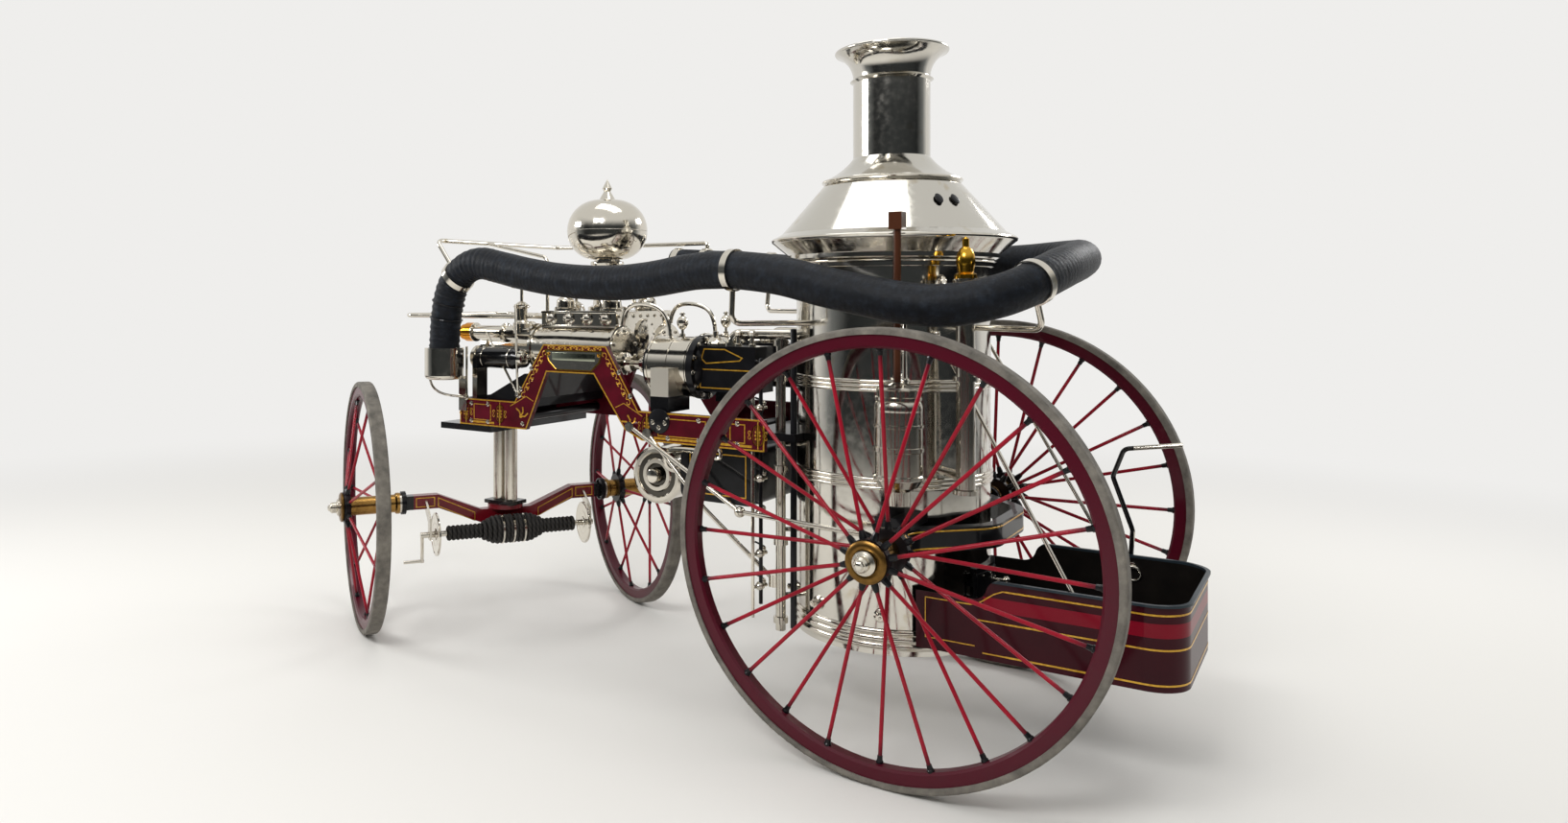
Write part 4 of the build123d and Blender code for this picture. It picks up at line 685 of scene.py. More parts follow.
def route(side, points, start=None):
    """A pipe's points on a side of the engine, counted from the rear axle or from its start."""
    start = spot(0, 0, 0) if start is None else start
    return [start + Vector((x, side * y, z)) for x, y, z in points]


def raised(seat, rise):
    """A place moved along its own Z."""
    return seat @ Matrix.Translation((0, 0, rise))


def side_plane(side, y):
    """Where an outline in XZ lies on a side of the engine."""
    return Matrix.Translation((REAR_AXLE_X, side * y, 0))


def outward(side, x, y, z):
    """A place on a side of the engine whose Z looks out from it."""
    return at(x, side * y, z, (0, side, 0))


# Pieces
def join(group, shape, place=None):
    """Moves a shape to its place and adds it to a group."""
    mesh = bpy.data.meshes.new("part")
    shape.to_mesh(mesh)
    shape.free()
    if place is not None:
        mesh.transform(place)
        if place.determinant() < 0:
            mesh.flip_normals()
    group.from_mesh(mesh)
    bpy.data.meshes.remove(mesh)


def bolt_ring(group, seat, radius, count, size, height, start=0.0):
    """A circle of bolts about a seat's Z."""
    for number in range(count):
        angle = start + 2 * math.pi * number / count
        place = seat @ Matrix.Translation((radius * math.cos(angle), radius * math.sin(angle), 0))
        join(group, hex_bolt(size, height), place)


def finish(group, name, slot, material, body="chassis"):
    """Makes a group into one named piece on its body."""
    mesh = bpy.data.meshes.new(name)
    group.to_mesh(mesh)
    group.free()
    mesh.shade_smooth()
    mesh.set_sharp_from_angle(angle=math.radians(35))
    mesh.materials.append(bpy.data.materials[material])
    piece = bpy.data.objects.new(name, mesh)
    bpy.context.scene.collection.objects.link(piece)
    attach(piece, body)
    return piece


def paint(material, *nodes):
    """Gives CAD nodes their finish."""
    for node in nodes:
        slots = NODES[node].data.materials
        slots.clear()
        slots.append(material)


# What a user would change
class EngineColours(bpy.types.PropertyGroup):
    """The enamels' colours"""
    frame: bpy.props.StringProperty(name="Frame", description="Frame enamel, sRGB hex", default="#560A1B")
    frame_deep: bpy.props.StringProperty(name="Frame deep", description="Darker frame enamel",
                                         default="#3C0712")
    black: bpy.props.StringProperty(name="Black", description="Black enamel, sRGB hex", default="#0B0B0D")


class EngineSizes(bpy.types.PropertyGroup):
    """The sizes of lines, bolts and rope"""
    line: bpy.props.FloatProperty(name="Gold line", description="Width of the gold lines", default=0.006,
                                  unit="LENGTH")
    line_inset: bpy.props.FloatProperty(name="Line inset", description="From an edge to its line",
                                        default=0.008, unit="LENGTH")
    bolt: bpy.props.FloatProperty(name="Bolt", description="Half width of a common bolt head", default=0.010,
                                  unit="LENGTH")
    rope: bpy.props.FloatProperty(name="Rope", description="Thickness of the drag rope", default=0.022,
                                  unit="LENGTH")


class EngineOperator:
    """What the operators share."""
    bl_options = {"REGISTER"}

    @property
    def sizes(self):
        """The sizes a user may change."""
        return bpy.context.scene.engine_sizes

    @property
    def colours(self):
        """The colours a user may change."""
        return bpy.context.scene.engine_colours


class ENGINE_OT_stage(EngineOperator, bpy.types.Operator):
    """Floor, soft lights, pale surroundings and the camera"""
    bl_idname = "engine.stage"
    bl_label = "Stage"

    def execute(self, context):
        scene = context.scene
        scene.view_settings.view_transform = "Standard"
        self.make_floor()
        self.make_world(scene)
        for lamp in LAMPS:
            self.make_lamp(*lamp)
        self.make_camera(scene)
        return {"FINISHED"}

    def make_floor(self):
        """A wide disc just under the wheels."""
        floor = bmesh.new()
        bmesh.ops.create_circle(floor, cap_ends=True, segments=96, radius=60)
        bmesh.ops.translate(floor, vec=(0, 0, -MM), verts=floor.verts)
        mesh = bpy.data.meshes.new("studio_floor")
        floor.to_mesh(mesh)
        floor.free()
        mesh.materials.append(self.floor_paint())
        ground = bpy.data.objects.new("studio_floor", mesh)
        bpy.context.scene.collection.objects.link(ground)

    def floor_paint(self):
        """Matt floor paint that runs into the pale backdrop far from the engine."""
        material, tree, point = start_material("studio_floor_paint")
        matt = add_node(tree, "BsdfPrincipled", {"Base Color": "#DEDCD8", "Roughness": 0.8})
        reach = add_node(tree, "VectorMath", {0: point}, operation="LENGTH")
        far = add_node(tree, "MapRange", {"Value": reach, "From Min": 3.2, "From Max": 9.0},
                       interpolation_type="SMOOTHSTEP")
        rays = add_node(tree, "LightPath").node.outputs
        seen = 0.0
        for ray in ("Is Camera Ray", "Is Glossy Ray", "Is Transmission Ray"):
            seen = add_node(tree, "Math", {0: rays[ray], 1: seen}, operation="MAXIMUM")
        share = add_node(tree, "Math", {0: far, 1: seen}, operation="MULTIPLY")
        way = add_node(tree, "VectorMath", {0: point}, operation="NORMALIZE")
        tint = layered(tree, room_tint(tree, way), (rays["Is Camera Ray"], PALE))
        backdrop = add_node(tree, "Emission", {"Color": tint})
        mixed = add_node(tree, "MixShader", {0: share, 1: matt, 2: backdrop})
        add_node(tree, "OutputMaterial", {"Surface": mixed})
        return material

    def make_world(self, scene):
        """The room round the engine, pale above and where the camera sees it."""
        world = bpy.data.worlds.new("studio_air")
        world.use_nodes = True
        tree = world.node_tree
        tree.nodes.clear()
        way = add_node(tree, "TexCoord").node.outputs["Generated"]
        rise = add_node(tree, "SeparateXYZ", {0: way}).node.outputs[2]
        height = add_node(tree, "MapRange", {"Value": rise, "From Min": 0.16, "From Max": 0.62},
                          interpolation_type="SMOOTHSTEP")
        seen = add_node(tree, "LightPath").node.outputs["Is Camera Ray"]
        tint = layered(tree, room_tint(tree, way), (height, "#E6E6E4"), (seen, PALE))
        add_node(tree, "OutputWorld", {"Surface": add_node(tree, "Background", {"Color": tint})})
        scene.world = world

    def make_lamp(self, name, place, target, size, power):
        """One soft lamp, half as tall as it is wide."""
        data = bpy.data.lights.new(name, "AREA")
        data.shape = "RECTANGLE"
        data.size = size
        data.size_y = size * 0.5
        data.energy = power
        lamp = bpy.data.objects.new(name, data)
        lamp.matrix_world = aimed(Vector(place), Vector(place) - Vector(target))
        bpy.context.scene.collection.objects.link(lamp)

    def make_camera(self, scene):
        """A level camera at the photographer's place."""
        data = bpy.data.cameras.new("camera")
        data.sensor_width = 36
        data.lens = CAMERA_LENS
        data.shift_x, data.shift_y = CAMERA_SHIFT
        camera = bpy.data.objects.new("camera", data)
        camera.location = spot(*CAMERA_PLACE)
        camera.rotation_euler = (math.radians(90), 0, CAMERA_TURN)
        scene.collection.objects.link(camera)
        scene.camera = camera


class ENGINE_OT_finishes(EngineOperator, bpy.types.Operator):
    """Every finish, and the finish of each CAD solid"""
    bl_idname = "engine.finishes"
    bl_label = "Finishes"

    def execute(self, context):
        small_finishes()
        rubbered_canvas()
        polished_nickel("etched_silver_plate", 0.2, "#A3A895")
        paint(polished_nickel(), "boiler_bands", "tray_stays", "rope_reel", "pump_body", "air_chamber",
              "truss_rods", "steam_pipes", "hose_rails", "hose_cup", "neck_plates")
        paint(polished_nickel("nickel_boiler_lagging", 1.0, "#CFCBC2"), "boiler_shell", "smoke_hood")
        paint(coach_enamel("maroon_coach_enamel", self.colours.frame, self.colours.frame_deep), "frame_sides")
        paint(coach_enamel(BLACK[1], self.colours.black, "#17171A"), "frame_cross_members", "rear_axle",
              "boiler_feet", "valve_chests", "fire_door", "door_hinge", "pole_socket", "side_tank")
        paint(tray_enamel(), "coal_tray")
        paint(axle_enamel(), "front_axle")
        paint(tarred_rope(), "reel_rope")
        self.castings()
        rubber = tyre_rubber()
        for name, side, radius, _, turn in WHEELS:
            centre = middle(f"{name}_tyre")
            paint(rubber, f"{name}_tyre")
            paint(wheel_enamel(f"{name}_wheel_enamel", centre, turn, radius), f"{name}_wheel")
            paint(hub_bronze(f"{name}_hub_bronze", centre, turn, side), f"{name}_hub")
        return {"FINISHED"}

    def castings(self):
        """The castings that are part plated and part enamelled, and those with dark grooves."""
        plated, enamelled, plate = ("#D6D0C4", 1.0), ("#101012", 0.0), ("#D2CCC0", 1.0)
        rust, brass, mouth, groove = ("#4A2A1B", 0.0), ("#D0A038", 1.0), ("#D08A2C", 1.0), ("#55524C", 1.0)
        for node, name, base, layers in (
            ("front_pedestal", "pedestal_nickel_and_enamel", enamelled,
             [(past(2, 0.588), plate), (past(2, 0.984), enamelled)]),
            ("feed_canister", "canister_nickel_and_rust", plate, [(past(2, 1.322), rust)]),
            ("boiler_columns", "column_nickel_and_brass", plate, [(past(2, 1.689), brass)]),
            ("grate_lever", "lever_enamel_and_nickel", enamelled, [(past(0, REAR_AXLE_X + 0.60), plate)]),
        ):
            paint(cast_finish(name, base, layers, polish=0.16, dust=0.72, ripple=(110, 0.4)), node)
        for node, name, base, mask, over, satin in (
            ("steam_cylinders", "jacket_nickel_and_enamel", enamelled, jacket_plate, plated, jacket_foot),
            ("front_cylinders", "air_cylinder_nickel_and_enamel", plated, air_cylinder_body, enamelled, None),
            ("pump_connections", "outlet_brass_and_nickel", plated, left_outlet_mouth, mouth, None),
            ("suction_drum", "suction_drum_nickel", plated, drum_grooves, groove, None),
        ):
            paint(cast_finish(name, base, [(mask, over)], satin), node)


class ENGINE_OT_suction_hose(EngineOperator, bpy.types.Operator):
    """The stowed suction hose, with its cuffs and end coupling"""
    bl_idname = "engine.suction_hose"
    bl_label = "Suction hose"

    def execute(self, context):
        points = route(1, HOSE_POINTS)
        line = curve_mesh(points, "NURBS", dimensions="3D", resolution_u=44)
        path = [vert.co.copy() for vert in line.vertices]
        bpy.data.meshes.remove(line)
        mesh = curve_mesh(points, "NURBS", dimensions="3D", resolution_u=44, bevel_depth=HOSE_R,
                          bevel_resolution=HOSE_FACETS, use_fill_caps=True)
        mesh.name = "suction_hose_tube"
        self.crease(mesh, path)
        mesh.shade_smooth()
        mesh.materials.clear()
        mesh.materials.append(bpy.data.materials["rubbered_hose_canvas"])
        hose = bpy.data.objects.new("suction_hose_tube", mesh)
        context.scene.collection.objects.link(hose)
        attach(hose, "chassis")
        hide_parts("suction_hose")
        self.couplings(path)
        return {"FINISHED"}

    def crease(self, mesh, path):
        """Folds inside tight bends and over the front one, small lumps, and each point's length along."""
        reach = [0.0]
        for before, after in zip(path, path[1:]):
            reach.append(reach[-1] + (after - before).length)
        ring = 2 * (HOSE_FACETS + 2)
        along = mesh.attributes.new("along", "FLOAT", "POINT")
        last = len(path) - 1
        for number, vert in enumerate(mesh.vertices):
            step = min(range(max(0, number // ring - 2), min(last, number // ring + 2) + 1),
                       key=lambda s: (path[s] - vert.co).length_squared)
            centre = path[step]
            before, after = path[max(0, step - 6)], path[min(last, step + 6)]
            bend = (before - centre).normalized() + (after - centre).normalized()
            out = (vert.co - centre).normalized()
            inner = max(0.0, out.dot(bend.normalized())) * min(1.0, bend.length * 5) ** 2
            front = max(0.0, 1 - reach[step] / FRONT_FOLD_RUN)
            wave = math.sin(reach[step] * 2 * math.pi / FOLD_PITCH) - 0.6
            fold = wave * (FOLD_DEPTH * inner + FRONT_FOLD_DEPTH * front)
            lump = (noise.noise(vert.co * 9) - 0.2) * LUMP_HEIGHT
            vert.co = vert.co + out * (fold + lump - 0.0012)
            along.data[number].value = reach[step]

    def couplings(self, path):
        """The coupling on the far end, and the cuffs' bindings."""
        group, rings, r = bmesh.new(), bmesh.new(), HOSE_R
        tail = path[-1] - path[-12]
        join(group, lathe([(0, 0.02), (r * 0.5, 0.02), (r * 0.5, 0), (r - 0.006, 0), (r + 0.004, 0.006),
                           (r + 0.004, 0.03), (r - 0.001, 0.036), (r - 0.001, 0.0362), (0, 0.0362)], 36),
             raised(aimed(path[-1] - tail.normalized() * 0.034, -tail), -0.034))
        finish(group, "hose_end_coupling", *NICKEL)
        for step in (18, 26):
            join(rings, hoop(r + 0.001, 0.0035, 40, 8), aimed(path[step], path[step + 1] - path[step]))
        finish(rings, "hose_cuff_bindings", *BLACK)


class ENGINE_OT_frame_lining(EngineOperator, bpy.types.Operator):
    """Gold lines, rosettes and scrolls on both frame sides, and the bordered plates on the neck"""
    bl_idname = "engine.frame_lining"
    bl_label = "Frame lining"

    def execute(self, context):
        group, fields = bmesh.new(), bmesh.new()
        front, rear, low, high, top = FRAME_LOW.x, FRAME_HIGH.x, FRAME_LOW.z, FRAME_TOP, FRAME_HIGH.z
        under = top - FRAME_DEPTH
        side_outline = [(front, low), (front, high), (-1.893, high), (-1.721, top), (-1.370, top),
                        (-1.199, high), (rear, high), (rear, low), (-1.179, low), (-1.269, low + 0.04),
                        (-1.436, under), (-1.701, under), (-1.823, low)]
        width, y = self.sizes.line, FRAME_OUT_Y + LIFT
        for side in SIDES:
            face = side_plane(side, y)
            join(group, lining(side_outline, self.sizes.line_inset, width), face)
            for start, stop in ((front + 0.09, -2.04), (-1.10, -0.865), (-0.755, -0.685)):
                panel = [(start, low + 0.026), (start, high - 0.022), (stop, high - 0.022),
                         (stop, low + 0.026)]
                join(group, lining(panel, 0.0, width * 0.7), face)
            for x in (front + 0.04, -1.985, -1.155, -0.81, -0.628):
                self.ornament(group, fields, x, (low + high) / 2, side)
            for x, lean in ((-1.835, 1), (-1.262, -1)):
                self.leaf(group, x, side, lean)
            for number in range(5):
                run, z = number * 0.027, 1.187 + number * 0.042
                self.scroll(group, -1.829 + run, z, side, 57, 0.95)
                self.scroll(group, -1.262 - run, z, side, -57, 0.95)
            for number in range(9):
                x = -1.677 + number * 0.033
                self.scroll(group, x, top - 0.015, side, 180 * (number % 2), 0.6)
                self.bead(group, side, x + 0.0165, top - 0.016)
            for start, stop in ((front + 0.07, -2.02), (-1.125, -0.655)):
                ends = [spot(start, side * y, 0).xy, spot(stop, side * y, 0).xy]
                join(group, ribbon(ends, low + 0.0165, 0.009))
        finish(group, "frame_gold_lining", "frame_paint", GOLD)
        finish(fields, "frame_ornament_fields", *BLACK)
        self.neck_plates()
        self.frame_bolts()
        return {"FINISHED"}

    def bead(self, group, side, x, z):
        """A small gold bead."""
        join(group, drum(0.0042, 0.003, steps=10), outward(side, x, FRAME_OUT_Y, z))

    def ornament(self, group, fields, x, z, side):
        """A gold line across the plate between two gold half discs, each with a dark ring and beads."""
        face = side_plane(side, FRAME_OUT_Y + 0.0005)
        join(group, trace([(x, z - 0.054), (x, z + 0.054)], self.sizes.line * 0.8), face)
        wide, tall = 0.024, 0.043
        turns = [number * math.pi / 12 for number in range(13)]
        for hand in SIDES:
            half = [(x + hand * (0.004 + wide * math.sin(turn)), z + tall * math.cos(turn)) for turn in turns]
            join(group, lining(half, 0.0, 0.0045, 0.0014), face)
            join(fields, lining(half, 0.0046, 0.0032, 0.0012), face)
            join(group, lining(half, 0.0079, 0.0038, 0.0014), face)
            for rise in (-0.014, 0.0, 0.014):
                self.bead(group, side, x + hand * (0.0105 - abs(rise) * 0.12), z + rise)
            self.scroll(group, x + hand * 0.036, z, side, 90, 0.55)

    def leaf(self, group, x, side, lean):
        """A spray of three gold leaves on the foot of the neck, under a slanting gold line."""
        face = side_plane(side, FRAME_OUT_Y + LIFT)
        slant = [(x - lean * 0.085, 1.118), (x + lean * 0.012, 1.168), (x + lean * 0.055, 1.148)]
        join(group, trace(slant, self.sizes.line * 0.7), face)
        foot = Vector((x - lean * 0.02, 1.075))
        for turn in (20, 75, 130):
            across, up = math.cos(math.radians(turn)), math.sin(math.radians(turn))
            tip = foot + Vector((lean * across, up)) * 0.045
            bend = (foot + tip) / 2 + Vector((up, -lean * across)) * 0.008
            join(group, trace([foot, bend, tip], self.sizes.line * 1.3), face)
        join(group, drum(0.008, 0.002, steps=12), outward(side, foot.x, FRAME_OUT_Y, foot.y))

    def scroll(self, group, x, z, side, lean, size):
        """A pair of spirals back to back."""
        turn, last = math.radians(lean), 14
        for hand in SIDES:
            points = []
            for number in range(last + 1):
                share = number / last
                angle = share * 3.6 * math.pi / 2
                radius = size * 0.017 * (1 - 0.72 * share)
                across = hand * (size * 0.019 - radius * math.cos(angle))
                up = radius * math.sin(angle)
                points.append(spot(x + across * math.cos(turn) - up * math.sin(turn),
                                   side * (FRAME_OUT_Y + LIFT),
                                   z + across * math.sin(turn) + up * math.cos(turn)))
            join(group, pipe(points, 0.0019 * max(size, 0.7), 2))

    def neck_plates(self):
        """The plates' silver fields, brass borders and screws."""
        field, border = bmesh.new(), bmesh.new()
        low, high = extent("neck_plates")
        outline = [(-1.709, high.z), (-1.382, high.z), (-1.40, high.z - 0.053), (-1.445, low.z),
                   (-1.646, low.z), (-1.691, high.z - 0.053)]
        for side in SIDES:
            face = side_plane(side, high.y + LIFT)
            join(border, lining(outline, 0.002, 0.006, 0.0016), face)
            join(field, slab((0.24, 0.001, 0.034), edge=0.0004),
                 face @ Matrix.Translation((NECK_X, 0, high.z - 0.03)))
            for x in (-1.685, -1.406):
                join(border, hex_bolt(0.006, 0.004), outward(side, x, high.y, high.z - 0.02))
        finish(field, "neck_plate_fields", "frame_paint", "etched_silver_plate")
        finish(border, "neck_plate_borders", "polished_nickel", "lacquered_brass")

    def frame_bolts(self):
        """Bolts through the frame sides, and the plates at the steam cylinders' feet."""
        group, plate, size = bmesh.new(), bmesh.new(), self.sizes.bolt * 0.8
        places = [(x, z) for x in (-2.165, -2.06, -1.05, -0.90, -0.72) for z in (1.036, 1.119)]
        places += [(-1.845, 1.04), (-1.855, 1.20), (-1.24, 1.20), (-1.79, 1.30), (-1.30, 1.30)]
        for side in SIDES:
            for x, z in places:
                join(group, hex_bolt(size, 0.007), outward(side, x, FRAME_OUT_Y, z))
            join(plate, drum(0.052, 0.005, steps=36), outward(side, -1.092, FRAME_OUT_Y, FRAME_TOP - 0.036))
            for x, down in ((-1.122, 0.042), (-1.092, 0.062), (-1.062, 0.042)):
                join(group, hex_bolt(size, 0.007), outward(side, x, FRAME_OUT_Y + 0.005, FRAME_TOP - down))
        finish(plate, "cylinder_foot_plates", *BLACK)
        finish(group, "frame_bolts", *NICKEL)


class ENGINE_OT_axle_lining(EngineOperator, bpy.types.Operator):
    """Gold lines on the front beam, the bowed rear axle, the steam chests and the tank"""
    bl_idname = "engine.axle_lining"
    bl_label = "Axle and chest lining"

    def execute(self, context):
        self.beam()
        self.bow()
        self.chests()
        return {"FINISHED"}

    def beam(self):
        """A panel on each slope and each end of the beam, before and behind."""
        group = bmesh.new()
        high, half = FRONT_WHEEL_R, 0.034
        low = high - 0.09
        slope = [(0.165, low + half - 0.011), (0.355, high + half - 0.013),
                 (0.355, high - half + 0.009), (0.165, low - half + 0.011)]
        outer = [(0.37, high + half - 0.01), (0.465, high + half - 0.01),
                 (0.465, high - half + 0.01), (0.37, high - half + 0.01)]
        for face_x in SIDES:
            face = FORE_CARRIAGE @ Matrix.Translation((face_x * 0.0284, 0, 0))
            face = face @ Matrix.Rotation(math.pi / 2, 4, "Z")
            for side in SIDES:
                for outline in (slope, outer):
                    join(group, lining([(side * y, z) for y, z in outline], 0.0, self.sizes.line * 0.7), face)
        finish(group, "front_beam_gold_lining", "axle_paint", GOLD, "fore_carriage")

    def bow(self):
        """Two lines along the bowed axle."""
        group = bmesh.new()
        reach, half, arm, tail, bend = 0.225, 0.19, BOW_ARM_Y, BOW_ARM_Y + 0.09, 0.15
        path = rounded([(0, -tail), (0, -arm), (reach, -half), (reach, half), (0, arm), (0, tail)], bend)
        line = [spot(x, y, 0).xy for x, y in offset_path(path, -0.0204)]
        for rise in (-0.03, 0.03):
            join(group, ribbon(line, REAR_WHEEL_R + rise, self.sizes.line * 0.8))
        finish(group, "bow_gold_lining", "black_enamel", GOLD)

    def chests(self):
        """Panels on the steam chests and the tanks."""
        group = bmesh.new()
        front, rear, chest_y = -0.955, -0.71, 0.27
        flag = [(front + 0.02, 1.41), (front + 0.12, 1.41), (rear - 0.04, 1.375), (rear - 0.055, 1.36),
                (front + 0.03, 1.345), (front + 0.005, 1.365)]
        foot = [(front, 1.243), (front, 1.325), (rear, 1.325), (rear, 1.243)]
        low, high = extent("side_tank")
        x0, x1, z0, z1 = low.x + 0.045, high.x - 0.045, low.z + 0.03, low.z + 0.205
        tank = [(x0, z0), (x0, z1), (x1, z1), (x1, z0)]
        for side in SIDES:
            for outline, y in ((flag, chest_y), (foot, chest_y), (tank, high.y)):
                join(group, lining(outline, 0.0, 0.005), side_plane(side, y + LIFT))
        finish(group, "chest_gold_lining", "black_enamel", GOLD)


class ENGINE_OT_tray_fittings(EngineOperator, bpy.types.Operator):
    """The coal tray's gold lines and its ring handle"""
    bl_idname = "engine.tray_fittings"
    bl_label = "Tray fittings"

    def execute(self, context):
        gold, ring = bmesh.new(), bmesh.new()
        y, front, rear = TRAY_SIDE_Y, 0.31, TRAY_HIGH.x - 0.009
        plan = rounded([(front, -y), (rear, -y), (rear, y), (front, y)], 0.12, 10)
        line = [spot(*point, 0).xy for point in offset_path(plan, -0.0006)]
        width = self.sizes.line * 0.85
        low, centre, high = TRAY_LINES
        for z in TRAY_LINES:
            join(gold, ribbon(line, z, width))
        foot, top = TRAY_PANEL
        front_panel = [(0.205, foot), (0.03, foot), (0.03, top), (0.19, top), (0.215, 0.551), (0.27, 0.592),
                       (0.30, high), (0.312, high)]
        for side in SIDES:
            for path in (front_panel, [(0.21, centre), (0.312, centre)], [(0.232, low), (0.312, low)]):
                join(gold, trace(path, width), side_plane(side, y + 0.0003))
        finish(gold, "tray_gold_lining", "tray_paint", GOLD)
        join(ring, hoop(0.028, 0.004), at(0.60, 0.322, 0.575, (0, 1, 0.25)))
        join(ring, drum(0.012, 0.01), at(0.60, 0.3348, 0.603, (0, -1, 0)))
        finish(ring, "tray_ring_handle", *NICKEL)
        return {"FINISHED"}


class ENGINE_OT_wheel_fittings(EngineOperator, bpy.types.Operator):
    """Spoke nuts at each rim, spoke sockets at each hub, and the hub caps' rings and nuts"""
    bl_idname = "engine.wheel_fittings"
    bl_label = "Wheel fittings"

    def execute(self, context):
        for name, side, radius, spokes, turn in WHEELS:
            facing = Matrix.Rotation(turn + (0 if side > 0 else math.pi), 4, "Z")
            place = Matrix.Translation(middle(f"{name}_tyre")) @ facing
            self.nuts(name, radius, spokes, place)
            self.cap(name, place)
        return {"FINISHED"}

    def nuts(self, name, radius, spokes, place):
        """A nut at the rim and a socket at the hub for each spoke."""
        group = bmesh.new()
        rim = radius - TYRE_DEPTH - RUNNING_FIT - RIM_DEPTH
        for number in range(spokes):
            angle = 2 * math.pi * number / spokes
            side = 1 if number % 2 else -1
            across, up = math.cos(angle), math.sin(angle)
            foot = Vector((SPOKE_FOOT_R * across, side * SPOKE_FOOT_Y, SPOKE_FOOT_R * up))
            head = Vector((rim * across, side * SPOKE_HEAD_Y, rim * up))
            way = (head - foot).normalized()
            join(group, turned([(0, -3), (12.5, -3), (12.5, 6), (9.8, 9), (8.8, 24), (0, 24)], 10),
                 place @ aimed(head, -way))
            join(group, turned([(0, 0), (12.5, 0), (12.5, 12), (9, 30), (0, 30)], 10),
                 place @ aimed(foot + way * 0.012, way))
        finish(group, f"{name}_spoke_nuts", *BLACK, name)

    def cap(self, name, place):
        """The bronze ring round a hub's cap, and the nut on its end."""
        ring, nut = bmesh.new(), bmesh.new()
        axis = place @ Matrix.Rotation(-math.pi / 2, 4, "X")
        join(ring, turned([(42, 0.5), (68, 0.5), (71, 4), (71, 10), (64, 15), (50, 17), (42, 14)], 32,
                          ring=True), raised(axis, HUB_CAP_Y))
        join(nut, turned([(0, 162), (16, 162), (16, 170), (11, 176), (0, 178)], 6), axis)
        finish(ring, f"{name}_hub_cap_ring", "hub_brass", "dulled_bronze", name)
        finish(nut, f"{name}_hub_nut", *NICKEL, name)


class ENGINE_OT_reel(EngineOperator, bpy.types.Operator):
    """The drag rope's turns on the reel, the bands that hold them and the rings on its discs"""
    bl_idname = "engine.reel"
    bl_label = "Rope reel"

    def execute(self, context):
        group, bands = bmesh.new(), bmesh.new()
        place = (Matrix.Translation(middle("reel_rope")) @ Matrix.Rotation(-STEER_REST, 4, "Z")
                 @ Matrix.Rotation(-math.pi / 2, 4, "X"))
        rope = self.sizes.rope
        count = int(ROPE_RUN / rope)
        for number in range(count):
            across = (number - (count - 1) / 2) * rope
            far = abs(across)
            radius = HEAP_R - max(0.0, far - HEAP_HALF) * HEAP_SLOPE if far < HEAP_END else ROPE_END_R
            join(group, hoop(radius, rope / 2, 26, 8), raised(place, across))
        turns = finish(group, "drag_rope_turns", "drag_rope", "tarred_hemp_rope", "rope_drum")
        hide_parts("reel_rope")
        for across in (-0.055, 0.0, 0.055):
            join(bands, turned([(70, -4), (72.5, -4), (72.5, 4), (70, 4)], 30, ring=True),
                 raised(place, across))
        for side in SIDES:
            disc = raised(place, side * DISC_Y)
            join(bands, hoop(0.0985, 0.0055, 48, 8), disc)
            join(bands, hoop(0.058, 0.0042, 40, 8), disc)
            join(bands, turned([(16, -9), (28, -7), (34, 0), (28, 7), (16, 9)], 28, ring=True), disc)
        finish(bands, "rope_bands", *NICKEL, "rope_drum")
        return {"FINISHED"}


